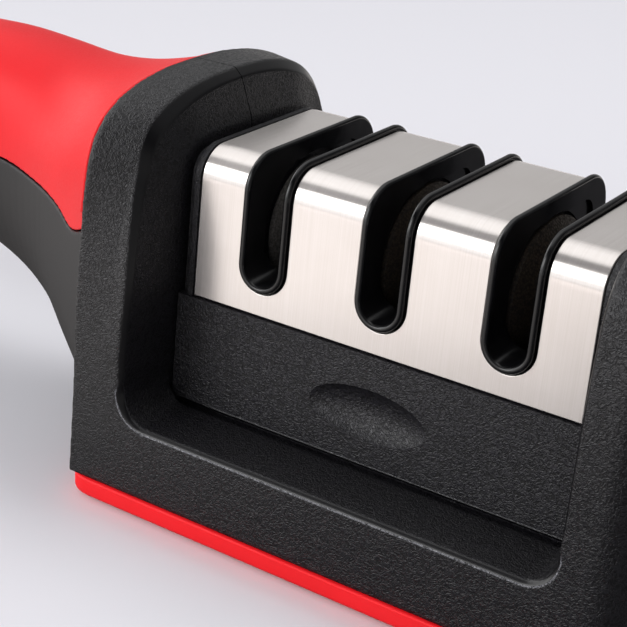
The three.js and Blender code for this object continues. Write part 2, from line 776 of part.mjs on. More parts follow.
const linerBottom = slotBottom + seatGap;
const axleBore = bar(axleRadius + runningGap, "x", [0, axleHeight], -far, far);
const tongues = tonguePlaces.map((x) =>
  box(
    [x - tongueLength / 2, -tongueDepth / 2, cartridgeBottom - tongueDrop],
    [x + tongueLength / 2, tongueDepth / 2, cartridgeBottom + overrun],
  ));
const cartridgeScrewPlaces = [[ribPlaces[1], 0], [ribPlaces[2], 0]];
const cartridgeBosses = cartridgeScrewPlaces.map((place) =>
  bar(bossRadius, "z", place, plateTop + seatGap, plateTop + cartridgeScrewLength + bossWall));
const cartridgeScrewHoles = cartridgeScrewPlaces.map((place) =>
  bar(screwRadius + seatGap, "z", place, 0, plateTop + cartridgeScrewLength + seatGap, screwSides));
const plateSeat = pull(
  cartridgeOutline(-cartridgeWall + seatGap, cartridgeBottom - overrun),
  "x",
  -caseHollowHalfLength - seatGap,
  caseHollowHalfLength + seatGap,
).intersect(box([-far, -far, -far], [far, far, plateTop + seatGap]));

add(
  "cartridge_case",
  cut(
    join(cut(caseOuter(), caseHollow), ribs, cartridgeBosses),
    slotTools(slotCutHalfWidth, slotBottom, far),
    thumbDish(-1),
    thumbDish(1),
    axleBore,
    plateSeat,
    cartridgeScrewHoles,
  ),
  blackShell,
);

const steelSheet = cut(
  pull(cartridgeOutline(0, steelBottom), "x", ...steelEnds),
  pull(cartridgeOutline(-steelThickness, steelBottom - overrun), "x", -far, far),
);
add("steel_cover", cut(steelSheet, slotTools(slotCutHalfWidth, slotBottom, far)), brushedSteel);

const cartridgeScrewHeadTop = cartridgeBottom + screwHeadHeight / 2;
const plateBody = pull(
  cartridgeOutline(-cartridgeWall, cartridgeBottom),
  "x",
  -caseHollowHalfLength,
  caseHollowHalfLength,
).intersect(box([-far, -far, -far], [far, far, plateTop]));
add(
  "cartridge_plate",
  cut(
    join(plateBody, tongues),
    cartridgeScrewPlaces.map((place) =>
      bar(screwRadius + seatGap, "z", place, 0, plateTop + overrun, screwSides)),
    cartridgeScrewPlaces.map((place) =>
      bar(screwHeadRadius + seatGap, "z", place, 0, cartridgeScrewHeadTop + seatGap, screwSides)),
  ),
  blackLiner,
);
cartridgeScrewPlaces.forEach((place, i) => {
  const head = bar(screwHeadRadius, "z", place, cartridgeBottom, cartridgeScrewHeadTop, screwSides);
  const shank = bar(screwRadius, "z", place, cartridgeBottom, plateTop + cartridgeScrewLength, screwSides);
  add(`cartridge_screw_${i + 1}`, join(head, shank), plainSteel);
});

// The shallow recess in both walls of a liner, around its wheels, in (Y, Z)
function recessOutline() {
  const shape = new THREE.Shape();
  const top = cartridgeTop - recessDrop;
  const low = linerBottom + linerHalfWidth;
  shape.moveTo(-recessHalfDepth, low);
  shape.lineTo(recessHalfDepth, low);
  shape.lineTo(recessHalfDepth, top - recessRadius);
  shape.quadraticCurveTo(recessHalfDepth, top, recessHalfDepth - recessRadius, top);
  shape.lineTo(recessRadius - recessHalfDepth, top);
  shape.quadraticCurveTo(-recessHalfDepth, top, -recessHalfDepth, top - recessRadius);
  shape.closePath();
  return shape;
}

// Knife slots: a black liner with a proud rim, and a pair of bevelled wheels on the axle
const linerBlock = pull(cartridgeOutline(rimProud, cartridgeBottom), "x", -linerHalfWidth, linerHalfWidth);
const trough = pull(slotOutline(linerHalfWidth, linerBottom, far), "y", -far, far);
const channel = pull(slotOutline(slotWidth / 2, linerBottom + rimWidth, far), "y", -far, far);
const wheelWindow = bar(wheelRadius + wheelGap, "x", [0, axleHeight], -far, far, wheelSides);
const recessReach = slotWidth / 2 + recessDepth;
const recess = pull(recessOutline(), "x", -recessReach, recessReach);
const liner = cut(linerBlock.intersect(trough), channel, wheelWindow, recess);
slotPlaces.forEach((x, i) => add(`slot_liner_${i + 1}`, liner.translate([x, 0, 0]), blackLiner));

// A wheel as a turned profile about X, its bevel facing the blade
function wheel(side, radius) {
  const bore = axleRadius + runningGap;
  const root = wheelVeeGap / 2;
  const rim = wheelVeeWidth / 2;
  const back = linerHalfWidth;
  const profile = [
    [bore, root],
    [wheelRootRadius, root],
    [radius, rim],
    [radius, back],
    [bore, back],
  ].map(([r, x]) => new THREE.Vector2(r, x));
  profile.push(profile[0].clone());
  const geometry = new THREE.LatheGeometry(profile, wheelSides);
  geometry.rotateZ((-side * Math.PI) / 2);
  return solidFrom(geometry);
}

const wheelMaterials = [ceramic, diamondGrit, diamondGrit];
slotPlaces.forEach((x, i) => {
  for (const [side, word] of [[-1, "left"], [1, "right"]]) {
    const radius = i === 0 ? fineWheelRadius : wheelRadius;
    const turned = wheel(side, radius).translate([x, 0, axleHeight]);
    add(`wheel_${i + 1}_${word}`, turned, wheelMaterials[i % wheelMaterials.length]);
    const start = x + side * (linerHalfWidth + runningGap * 2);
    const end = x + side * (slotPitch / 2 - ribThickness / 2 - runningGap * 2);
    const spacer = cut(
      bar(spacerRadius, "x", [0, axleHeight], Math.min(start, end), Math.max(start, end)),
      axleBore,
    );
    add(`wheel_spacer_${i + 1}_${word}`, spacer, blackLiner);
  }
});
const axleHalfLength = caseHollowHalfLength + cartridgeWall / 2;
add("wheel_axle", bar(axleRadius, "x", [0, axleHeight], -axleHalfLength, axleHalfLength), plainSteel);

export default group;
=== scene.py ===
import math

import bmesh
import bpy
from mathutils import Matrix, Vector


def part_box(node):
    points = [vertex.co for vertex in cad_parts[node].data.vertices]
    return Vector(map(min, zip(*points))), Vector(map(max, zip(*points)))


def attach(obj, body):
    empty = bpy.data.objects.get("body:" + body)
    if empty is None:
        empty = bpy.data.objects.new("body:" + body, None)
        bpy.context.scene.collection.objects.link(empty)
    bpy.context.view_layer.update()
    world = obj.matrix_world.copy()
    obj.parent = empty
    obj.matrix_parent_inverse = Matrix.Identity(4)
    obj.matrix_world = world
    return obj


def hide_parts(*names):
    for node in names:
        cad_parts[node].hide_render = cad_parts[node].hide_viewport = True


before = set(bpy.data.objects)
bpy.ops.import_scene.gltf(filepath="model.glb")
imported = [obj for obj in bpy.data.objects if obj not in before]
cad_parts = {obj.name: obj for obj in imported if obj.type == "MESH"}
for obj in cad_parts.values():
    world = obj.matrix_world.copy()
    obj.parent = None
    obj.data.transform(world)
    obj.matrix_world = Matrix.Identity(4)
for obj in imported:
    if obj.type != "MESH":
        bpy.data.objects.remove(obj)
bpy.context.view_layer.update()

# Sizes read from the frame, in millimetres
MM = 0.001


def cad_box(node):
    low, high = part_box(node)
    return low / MM, high / MM


case_low, case_high = cad_box("cartridge_case")
steel_low, steel_high = cad_box("steel_cover")
trim_low, trim_high = cad_box("base_trim")
shell_low, shell_high = cad_box("front_shell")
axle_low, axle_high = cad_box("wheel_axle")
fine_wheel_low, fine_wheel_high = cad_box("wheel_1_right")
wheel_low, wheel_high = cad_box("wheel_2_right")
liner_boxes = [cad_box(f"slot_liner_{number}") for number in (1, 2, 3)]

MIDDLE_X = (case_low.x + case_high.x) / 2
SLOT_PLACES = [(low.x + high.x) / 2 - MIDDLE_X for low, high in liner_boxes]
LINER_HALF_WIDTH = (liner_boxes[0][1].x - liner_boxes[0][0].x) / 2
CARTRIDGE_BOTTOM = case_low.z
CARTRIDGE_TOP = case_high.z
CARTRIDGE_HALF_LENGTH = (case_high.x - case_low.x) / 2
STEEL_BOTTOM = steel_low.z
STEEL_ENDS = (steel_low.x - MIDDLE_X, steel_high.x - MIDDLE_X)
ARCH_TOP = shell_high.z
TRIM_BOTTOM = trim_low.z
TRIM_TOP = trim_high.z
AXLE_HEIGHT = (axle_low.z + axle_high.z) / 2
AXLE_RADIUS = (axle_high.z - axle_low.z) / 2
WHEEL_RADIUS = (wheel_high.z - wheel_low.z) / 2
FINE_WHEEL_RADIUS = (fine_wheel_high.z - fine_wheel_low.z) / 2

# Clearances, and how far blanks and cutters run past what they shape
SEAT_GAP = 0.3
LIFT_GAP = 0.4
RUNNING_GAP = 0.06
WHEEL_GAP = 0.6
STAND_GAP = 0.7
SEAM_GAP = 0.2
OVERRUN = 1.0
FAR = 400.0

# Knife slots and their wheels
SLOT_HALF_WIDTH = 3.2
SLOT_CUT_HALF_WIDTH = LINER_HALF_WIDTH + SEAT_GAP
RIM_WIDTH = LINER_HALF_WIDTH - SLOT_HALF_WIDTH
RIM_PROUD = 0.9
SLOT_SILL = 3.65
SLOT_BOTTOM = STEEL_BOTTOM + SLOT_SILL
RECESS_HALF_DEPTH = 13.5
RECESS_DROP = 2.5
RECESS_DEPTH = 0.55
RECESS_RADIUS = 4.0
WHEEL_ROOT_RADIUS = 5.5
WHEEL_VEE_GAP = 0.8
WHEEL_CHAMFER = 0.35

# Cartridge
CARTRIDGE_TOP_HALF_DEPTH = 17.2
CARTRIDGE_DRAFT = 0.07
FOLD_RADIUS = 5.5
CARTRIDGE_CORNER_RADIUS = 1.5
STEEL_THICKNESS = 0.8
STEEL_EDGE = 0.16
CASE_EDGE = 0.2
FLANGE_WIDTH = 1.3
FLANGE_STEP = 1.3
PANEL_PROUD = 0.4
CARTRIDGE_HEIGHT = CARTRIDGE_TOP - CARTRIDGE_BOTTOM
PANEL_FOOT_DEPTH = CARTRIDGE_TOP_HALF_DEPTH + PANEL_PROUD + CARTRIDGE_DRAFT * CARTRIDGE_HEIGHT
THUMB_WIDTH = 21.4
THUMB_HEIGHT = 8.6
THUMB_DEPTH = 2.0
THUMB_DROP = 34.4
TONGUE_LENGTH = 18.0
TONGUE_DEPTH = 7.0
SOCKET_DEPTH = 3.4

# Housing
FLOOR_HEIGHT = CARTRIDGE_BOTTOM - STAND_GAP
TRIM_PROUD = 0.5
TRIM_WIDTH = 4.0
TRIM_CORNER_RADIUS = 5.0
TRIM_LOW_RADIUS = 1.3
TRIM_HIGH_RADIUS = 0.45
TRIM_LOW_STEPS = 8
TRIM_HIGH_STEPS = 6
BASE_HALF_DEPTH = trim_high.y - TRIM_PROUD
BODY_HALF_LENGTH = trim_high.x - MIDDLE_X - TRIM_PROUD
KNEE_HALF_DEPTH = 32.6
KNEE_HEIGHT = 26.0
SHOULDER_HALF_DEPTH = 28.9
SHOULDER_PINCH = 3.2
SHOULDER_DROP = 11.9
SHOULDER_HEIGHT = ARCH_TOP - SHOULDER_DROP
BAY_HALF_LENGTH = CARTRIDGE_HALF_LENGTH + LIFT_GAP
RIDGE_SPLAY = 0.5
RIDGE_TOP_SPLAY = 2.9
END_RIDGE_TOP_SPLAY = 0.45
EDGE_BEVEL = 0.95
LIP_BEVEL = 0.6
RIDGE_TOP_HALF_LENGTH = BAY_HALF_LENGTH + RIDGE_TOP_SPLAY + EDGE_BEVEL
PINCH_LENGTH = BODY_HALF_LENGTH - RIDGE_TOP_HALF_LENGTH
PINCH_HOLD = 2 * PINCH_LENGTH
PINCH_END = 4 * PINCH_LENGTH
END_BULGE = 2.2
END_ROUND = 5.0
LIP_RADIUS = 5.0
GROOVE_DEPTH = 1.0
GROOVE_WIDTH = 3.2
GROOVE_MARGIN = 1.2

# Handle
HANDLE_END_SHARE = 0.995
HANDLE_LENGTH = (MIDDLE_X - shell_low.x - BODY_HALF_LENGTH) / HANDLE_END_SHARE
HANDLE_HEIGHT = 40.0
HANDLE_HALF_WIDTH = 14.5
HANDLE_LIFT = 26.0
FLARE_LENGTH = 38.0
FLARE_POWER = 2.4
GRIP_STEP = 0.4
GRIP_WALL = 2.6
GRIP_HEIGHT = 20.0
GRIP_LIP_RADIUS = 0.45
GRIP_LIP_INSET = 0.35
GRIP_LIP_SIDES = 12
TIP_RADIUS = 0.25

# Steps round bends, and the grid that rounds the moulded edges over
CURVE_STEPS = 20
ARC_STEPS = 24
ROUND_STEPS = 96
HANDLE_SIDES = 120
HANDLE_STATIONS = 72
BEAD_SIDES = 14
EDGE_SEGMENTS = 3
FLAT_ANGLE = math.radians(0.5)
WELD = 0.0001
PARALLEL = 1e-12
SHELL_VOXEL = 0.3
SHELL_SMOOTHING = 3
SHELL_KEPT_SHARE = 0.15
GRIP_VOXEL = 0.22
GRIP_SMOOTHING = 2
GRIP_KEPT_SHARE = 0.1


# Outlines, in millimetres
def lerp(a, b, share):
    return a + (b - a) * share


def smoothstep(value, low, high):
    share = min(max((value - low) / (high - low), 0), 1)
    return share * share * (3 - 2 * share)


def bend(controls):
    """Points along a Bezier curve, its start left out."""
    order = len(controls) - 1
    points = []
    for i in range(1, CURVE_STEPS + 1):
        t = i / CURVE_STEPS
        weights = [math.comb(order, k) * (1 - t) ** (order - k) * t ** k for k in range(order + 1)]
        points.append(tuple(sum(w * p[axis] for w, p in zip(weights, controls)) for axis in (0, 1)))
    return points


def arc(centre, radius, start, end, steps=ARC_STEPS):
    angles = [lerp(start, end, i / steps) for i in range(steps + 1)]
    return [(centre[0] + radius * math.cos(a), centre[1] + radius * math.sin(a)) for a in angles]


def mirrored(half):
    """A half outline from one end to the middle, with its mirror image on to the other end."""
    return half + [(-across, z) for across, z in reversed(half[:-1])]


SHOULDER_RISE_SHARE = 0.59
SHOULDER_TURN_SHARE = 0.935
CROWN_TURN_SHARE = 0.72
LEG_TURN_HEIGHT_SHARE = 0.62
LEG_TURN_DEPTH_SHARE = 0.73


def arch_outline(inset, bottom, pinch=0.0):
    """The housing's cross-section: leaning legs, round shoulders and a nearly flat top."""
    foot = (BASE_HALF_DEPTH - inset, bottom)
    knee = (KNEE_HALF_DEPTH - inset, KNEE_HEIGHT)
    shoulder = (SHOULDER_HALF_DEPTH - inset - pinch, SHOULDER_HEIGHT)
    top = ARCH_TOP - inset
    turn = (
        lerp(shoulder[0], knee[0], LEG_TURN_DEPTH_SHARE),
        lerp(KNEE_HEIGHT, SHOULDER_HEIGHT, LEG_TURN_HEIGHT_SHARE),
    )
    rise = (shoulder[0] * SHOULDER_TURN_SHARE, lerp(SHOULDER_HEIGHT, top, SHOULDER_RISE_SHARE))
    crown = (shoulder[0] * CROWN_TURN_SHARE, top)
    half = [foot, knee] + bend([knee, turn, shoulder]) + bend([shoulder, rise, crown, (0, top)])
    return mirrored(half)


def cartridge_outline(grow, bottom):
    """The cartridge's cross-section, offset outwards by grow."""
    radius = FOLD_RADIUS + grow
    crown = CARTRIDGE_TOP + grow
    centre_z = crown - radius

    def depth_at(z):
        return CARTRIDGE_TOP_HALF_DEPTH + grow + CARTRIDGE_DRAFT * (CARTRIDGE_TOP - z)

    fold = depth_at(centre_z)
    rounded = arc((fold - radius, centre_z), radius, 0, math.pi / 2)
    return mirrored([(depth_at(bottom), bottom), *rounded, (0, crown)])


def slot_outline(half_width, bottom, top):
    """A slot with a round bottom, open at the top, in X and Z."""
    round_end = arc((0, bottom + half_width), half_width, math.pi, 2 * math.pi)
    return [(half_width, top), (-half_width, top)] + round_end


def rounded_plate(half_length, half_depth, radius, bulge):
    """A plan with rounded corners, its left side bulging out."""
    left, right, front, rear, r = -half_length, half_length, -half_depth, half_depth, radius
    points = [(left + r, front), (right - r, front)]
    points += bend([(right - r, front), (right, front), (right, front + r)])
    points += [(right, rear - r)]
    points += bend([(right, rear - r), (right, rear), (right - r, rear)])
    points += [(left + r, rear)]
    points += bend([(left + r, rear), (left, rear), (left, rear - r)])
    points += bend([(left, rear - r), (left - bulge * 2, 0), (left, front + r)])
    points += bend([(left, front + r), (left, front), (left + r, front)])[:-1]
    return points


def evenly(points, count):
    """The same open line with its points spaced evenly."""
    lengths = [math.dist(a, b) for a, b in zip(points, points[1:])]
    spaced = []
    step = sum(lengths) / count
    for i in range(count + 1):
        left = min(i * step, sum(lengths))
        k = 0
        while k < len(lengths) - 1 and left > lengths[k]:
            left -= lengths[k]
            k += 1
        share = min(left / lengths[k], 1)
        spaced.append(tuple(lerp(a, b, share) for a, b in zip(points[k], points[k + 1])))
    return spaced


def smooth_through(points):
    """Points along a curve that passes through all of these."""
    last = len(points) - 1
    line = [points[0]]
    for k in range(last):
        around = [points[max(k - 1, 0)], points[k], points[k + 1], points[min(k + 2, last)]]
        for i in range(1, CURVE_STEPS + 1):
            t = i / CURVE_STEPS
            line.append(tuple(through(*(p[axis] for p in around), t) for axis in (0, 1)))
    return line


def through(before, start, end, after, t):
    """A value between start and end, on a curve that also heeds the values before and after them."""
    return hermite(start, end, (end - before) / 2, (after - start) / 2, t)


def hermite(start, end, slope_in, slope_out, t):
    """A value between start and end, on a curve with these slopes at its ends."""
    return (
        (2 * t**3 - 3 * t**2 + 1) * start
        + (t**3 - 2 * t**2 + t) * slope_in
        + (3 * t**2 - 2 * t**3) * end
        + (t**3 - t**2) * slope_out
    )


# Closed forms, in millimetres
def linked(name, data):
    """A new object with this data, in the scene."""
    made = bpy.data.objects.new(name, data)
    bpy.context.scene.collection.objects.link(made)
    return made


def solid(points, faces):
    """A closed form in the scene, its faces all turned outwards."""
    mesh = bpy.data.meshes.new("form")
    mesh.from_pydata(points, [], faces)
    work = bmesh.new()
    work.from_mesh(mesh)
    bmesh.ops.remove_doubles(work, verts=work.verts, dist=WELD)
    bmesh.ops.recalc_face_normals(work, faces=work.faces)
    work.to_mesh(mesh)
    work.free()
    return linked("form", mesh)


def skin(rings, closed=False):
    """A skin over rings of points. It comes round to the first ring again where closed is true, and
    otherwise has a flat cap on each end."""
    count = len(rings[0])
    last = len(rings) if closed else len(rings) - 1
    faces = [] if closed else [list(range(count)), [last * count + i for i in range(count)]]
    for r in range(last):
        after = (r + 1) % len(rings)
        for i in range(count):
            j = (i + 1) % count
            faces.append([r * count + i, r * count + j, after * count + j, after * count + i])
    return solid([p for ring in rings for p in ring], faces)


def circle(centre, radius, up, across, sides):
    """A ring of points round a centre, in the plane of these two ways."""
    angles = [2 * math.pi * k / sides for k in range(sides)]
    return [centre + radius * (math.cos(a) * up + math.sin(a) * across) for a in angles]


def bead(path, radius):
    """A round bead along a closed path of points, each with the way that its surface faces."""
    rings = []
    for i, (point, facing) in enumerate(path):
        along = (path[(i + 1) % len(path)][0] - path[i - 1][0]).normalized()
        across = along.cross(facing).normalized()
        rings.append(circle(point, radius, across.cross(along), across, BEAD_SIDES))
    return skin(rings, closed=True)


def pull(outline, axis, low, high):
    """An outline drawn in the other two axes, in their order, and pulled along this one."""
    place = {
        "x": lambda at, p: (at, p[0], p[1]),
        "y": lambda at, p: (p[0], at, p[1]),
        "z": lambda at, p: (p[0], p[1], at),
    }[axis]
    return skin([[place(at, p) for p in outline] for at in (low, high)])


def box(low, high):
    outline = [(low[0], low[1]), (high[0], low[1]), (high[0], high[1]), (low[0], high[1])]
    return pull(outline, "z", low[2], high[2])


def bar(radius, axis, centre, low, high):
    outline = arc(centre, radius, 0, 2 * math.pi, ROUND_STEPS)[:-1]
    return pull(outline, axis, low, high)


def shifted(form, x):
    form.data.transform(Matrix.Translation((x, 0, 0)))
    return form


def settle(form):
    """Makes the form's modifiers part of its mesh."""
    graph = bpy.context.evaluated_depsgraph_get()
    made = bpy.data.meshes.new_from_object(form.evaluated_get(graph))
    old = form.data
    form.modifiers.clear()
    form.data = made
    bpy.data.meshes.remove(old)
    return form


def combined(operation, form, tools):
    for tool in tools:
        change = form.modifiers.new("change", "BOOLEAN")
        change.operation = operation
        change.solver = "MANIFOLD"
        change.object = tool
    settle(form)
    for tool in tools:
        bpy.data.meshes.remove(tool.data)
    return form


def cut(form, *tools):
    return combined("DIFFERENCE", form, tools)


def join(form, *tools):
    return combined("UNION", form, tools)


def meet(form, *tools):
    return combined("INTERSECT", form, tools)


def copied(form):
    return linked("form", form.data.copy())


def shaded(form, sharp_from):
    """Smooth shading, but for edges sharper than this angle in degrees."""
    form.data.shade_smooth()
    form.data.set_sharp_from_angle(angle=math.radians(sharp_from))
    return form


def softened(form, voxel, passes, keep):
    """Rounds every edge as a mould does: a fine even grid, smoothed, then thinned where it is flat."""
    remesh = form.modifiers.new("grid", "REMESH")
    remesh.mode = "VOXEL"
    remesh.voxel_size = voxel * 1
    smooth = form.modifiers.new("smooth", "SMOOTH")
    smooth.factor = 0.5
    smooth.iterations = passes
    thin = form.modifiers.new("thin", "DECIMATE")
    thin.ratio = keep
    settle(form)
    form.data.shade_smooth()
    return form


def edged(form, width, angle):
    """Breaks the edges sharper than this angle and leaves flat faces flat."""
    work = bmesh.new()
    work.from_mesh(form.data)
    bmesh.ops.remove_doubles(work, verts=work.verts, dist=WELD)
    bmesh.ops.dissolve_limit(work, angle_limit=FLAT_ANGLE, verts=work.verts, edges=work.edges)
    work.to_mesh(form.data)
    work.free()
    shaded(form, sharp_from=18)
    bevel = form.modifiers.new("edges", "BEVEL")
    bevel.limit_method = "ANGLE"
    bevel.angle_limit = math.radians(angle)
    bevel.width = width
    bevel.segments = EDGE_SEGMENTS
    bevel.harden_normals = True
    return settle(form)


def placed(form, name, body, material, slot, *nodes):
    """Names a finished form, turns it to metres, gives it its body and material, and hides the CAD nodes it
    stands for.
    """
    form.data.transform(Matrix.Scale(MM, 4) @ Matrix.Translation((MIDDLE_X, 0, 0)))
    form.name = name
    form.data.name = name
    form.data.materials.clear()
    form.data.materials.append(material)
    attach(form, body)
    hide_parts(*nodes)
    return form


# Materials
PER_METRE = 1 / MM
BLACK = (0, 0, 0, 1)
WHITE = (1, 1, 1, 1)
# A noise keeps mostly between these two values
NOISE_LOW = 0.3
NOISE_HIGH = 0.7
# Sizes of the patterns, in millimetres. The real brush lines are finer, and drawn wider so that they show
GRAIN_SIZE = 0.62
GRAIN_DEPTH = 0.06
WEAR_AND_HIGHLIGHT_SPECK_SIZE = 0.3
TPE_CLOUD_SIZE = 14
TPE_SKIN_SIZE = 0.35
TPE_SKIN_DEPTH = 0.01
STEEL_CLOUD_SIZE = 9
STEEL_LINE_WIDTH = 0.12
STEEL_LINE_LENGTH = 30
STEEL_LINE_DEPTH = 0.001


def linear(hex_colour):
    """An sRGB hex colour as linear RGBA."""
    channels = [int(hex_colour[i : i + 2], 16) / 255 for i in (1, 3, 5)]
    return (*(c / 12.92 if c <= 0.04045 else ((c + 0.055) / 1.055) ** 2.4 for c in channels), 1)


def grey(level):
    """A linear grey."""
    return (level, level, level, 1)


def add(tree, kind, inputs=(), output=0, stops=(), **settings):
    """Adds a shader node with its settings and colour stops, its inputs set or linked, by name or in their
    order, and gives one of its outputs."""
    node = tree.nodes.new("ShaderNode" + kind)
    for name, value in settings.items():
        setattr(node, name, value)
    for key, value in inputs.items() if isinstance(inputs, dict) else enumerate(inputs):
        if isinstance(value, bpy.types.NodeSocket):
            tree.links.new(value, node.inputs[key])
        else:
            node.inputs[key].default_value = value
    if stops:
        elements = node.color_ramp.elements
        for element, (position, colour) in zip((elements[0], elements[-1]), (stops[0], stops[-1])):
            element.position = position
            element.color = colour
        for position, colour in stops[1:-1]:
            elements.new(position).color = colour
    return node.outputs[output]


def new_material(name, **values):
    """A material with one Principled shader, with these values on its sockets."""
    material = bpy.data.materials.new(name)
    material.use_nodes = True
    tree = material.node_tree
    shader = tree.nodes["Principled BSDF"]
    for key, value in values.items():
        shader.inputs[key.replace("_", " ")].default_value = value
    return material, tree, add(tree, "TexCoord", output="Object")


def wired(material, **patterns):
    """The material with these patterns on the sockets of its shader."""
    tree = material.node_tree
    shader = tree.nodes["Principled BSDF"]
    for key, value in patterns.items():
        tree.links.new(value, shader.inputs[key.replace("_", " ")])
    return material


# How far the polished bevel and the pale lip line, rubbed wear and a painted highlight, reach past the
# ridge and below the bay's floor, and how long the grain takes to fade out on the handle, in millimetres
RIDGE_END_MARGIN = 0.4
RIDGE_END_FADE = 0.2
LIP_ZONE_DROP = 3.0
GRAIN_FADE = 2.0
# Where those parts are, by how far the way the surface faces goes sideways or outwards
POST_BEVEL_FACING = [(0.55, BLACK), (0.62, WHITE), (0.88, WHITE), (0.93, BLACK)]
LIP_BEVEL_FACING = [(0.33, BLACK), (0.45, WHITE), (0.82, WHITE), (0.9, BLACK)]
# The pale lip line: the faint grey stops are a painted highlight where the bevel meets the floor, the white
# ones rubbed wear and a painted highlight on the lip's outer edge
RUBBED_AND_HIGHLIGHT_FACING = [
    (0.15, BLACK), (0.22, grey(0.1)), (0.35, grey(0.1)), (0.42, BLACK),
    (0.85, BLACK), (0.89, WHITE), (0.955, WHITE), (0.975, BLACK),
]
BEVEL_POLISH = -0.2


def bay_bevel(tree, place):
    """Where the polished bevel round the bay is, and where its lip edges are painted pale, with rubbed wear
    and a painted highlight, from the way the surface faces: beside the bay the bevel faces half sideways,
    along the lips it faces half up."""
    facing = add(tree, "SeparateXYZ", [add(tree, "NewGeometry", output="Normal")]).node.outputs
    sideways = add(tree, "Math", [facing["X"]], operation="ABSOLUTE")
    outward = add(tree, "Math", [facing["Y"]], operation="ABSOLUTE")
    position = add(tree, "SeparateXYZ", [place]).node.outputs
    along = add(tree, "Math", [position["X"], MIDDLE_X * MM], operation="SUBTRACT")
    beside = add(tree, "Math", [along], operation="ABSOLUTE")
    # The post part starts above the bay's round corners and ends at the ridge
    corner_top = (FLOOR_HEIGHT + LIP_RADIUS) * MM
    above = add(tree, "MapRange", [position["Z"], corner_top, corner_top + MM, 0.0, 1.0])
    ridge_end = (RIDGE_TOP_HALF_LENGTH + RIDGE_END_MARGIN) * MM
    near_ridge = add(tree, "MapRange", [beside, ridge_end, ridge_end + RIDGE_END_FADE * MM, 1.0, 0.0])
    high_zone = add(tree, "Math", [above, near_ridge], operation="MULTIPLY")
    # The lip part is below that, between the middles of the posts
    below = add(tree, "MapRange", [position["Z"], corner_top, corner_top + MM, 1.0, 0.0])
    lip_foot = (FLOOR_HEIGHT - LIP_ZONE_DROP) * MM
    over_foot = add(tree, "MapRange", [position["Z"], lip_foot, lip_foot + MM, 0.0, 1.0])
    low_part = add(tree, "Math", [below, over_foot], operation="MULTIPLY")
    post_middle = (BAY_HALF_LENGTH + LIP_RADIUS) * MM
    within = add(tree, "MapRange", [beside, post_middle - MM, post_middle, 1.0, 0.0])
    low_zone = add(tree, "Math", [low_part, within], operation="MULTIPLY")
    post_part = add(tree, "ValToRGB", [sideways], stops=POST_BEVEL_FACING)
    lip_part = add(tree, "ValToRGB", [outward], stops=LIP_BEVEL_FACING)
    lip_bevel = add(tree, "Math", [lip_part, low_zone], operation="MULTIPLY")
    bevel = add(tree, "Math", [post_part, high_zone, lip_bevel], operation="MULTIPLY_ADD")
    # The pale lip line, rubbed wear and a painted highlight, only along the lips
    edges = add(tree, "ValToRGB", [outward], stops=RUBBED_AND_HIGHLIGHT_FACING)
    return bevel, add(tree, "Math", [edges, low_zone], operation="MULTIPLY")


def moulded_abs(name, colour, high_colour, wear_and_highlight_colour=None):
    """Moulded ABS: wrinkled leather grain from an etched mould, polished on its ridges. The real wrinkles
    are 0.4 mm apart, and GRAIN_SIZE is a little more, so that they show. With a wear and highlight colour,
    the bevel round the bay is polished and its lip edge painted pale: rubbed wear and a painted highlight."""
    material, tree, place = new_material(name, IOR=1.53)
    grain = {"Vector": place, "Scale": PER_METRE / GRAIN_SIZE, "Detail": 1.0, "Distortion": 0.9}
    off_line = add(tree, "Math", [add(tree, "TexNoise", grain), 0.5], operation="SUBTRACT")
    away = add(tree, "Math", [off_line], operation="ABSOLUTE")
    wrinkle = add(tree, "MapRange", [away, 0.15, 0.0, 0.0, 1.0])
    # The handle was left smooth in the mould: the grain fades out where the left post ends
    along = add(tree, "SeparateXYZ", [place])
    post_end = (MIDDLE_X - BODY_HALF_LENGTH) * MM
    grained = add(tree, "MapRange", [along, post_end - GRAIN_FADE * MM, post_end, 0.05, 1.0])
    if wear_and_highlight_colour:
        bevel, wear_and_highlight = bay_bevel(tree, place)
        off_bevel = add(tree, "MapRange", [bevel, 0.0, 1.0, 1.0, 0.0])
        grained = add(tree, "Math", [grained, off_bevel], operation="MULTIPLY")
    bump = add(tree, "Bump", {"Height": wrinkle, "Distance": GRAIN_DEPTH * MM, "Strength": grained})
    ridge = add(tree, "Math", [wrinkle, grained], operation="MULTIPLY")
    tone = add(tree, "ValToRGB", [ridge], stops=[(0.2, linear(colour)), (0.9, linear(high_colour))])
    roughness = add(tree, "MapRange", [ridge, NOISE_LOW, NOISE_HIGH, 0.5, 0.34])
    if wear_and_highlight_colour:
        # The lip's pale speckled line: rubbed wear and a painted highlight on its edge
        specks = add(tree, "TexNoise", {"Vector": place, "Scale": PER_METRE / WEAR_AND_HIGHLIGHT_SPECK_SIZE, "Detail": 3.0})
        speckle = add(tree, "ValToRGB", [specks], stops=[(0.36, BLACK), (0.56, WHITE)])
        speckled_wear_and_highlight = add(tree, "Math", [wear_and_highlight, speckle], operation="MULTIPLY")
        mix = {"Factor": speckled_wear_and_highlight, "A": tone, "B": linear(wear_and_highlight_colour)}
        tone = add(tree, "Mix", mix, "Result", data_type="RGBA")
        roughness = add(tree, "Math", [bevel, BEVEL_POLISH, roughness], operation="MULTIPLY_ADD")
    return wired(material, Base_Color=tone, Roughness=roughness, Normal=bump)


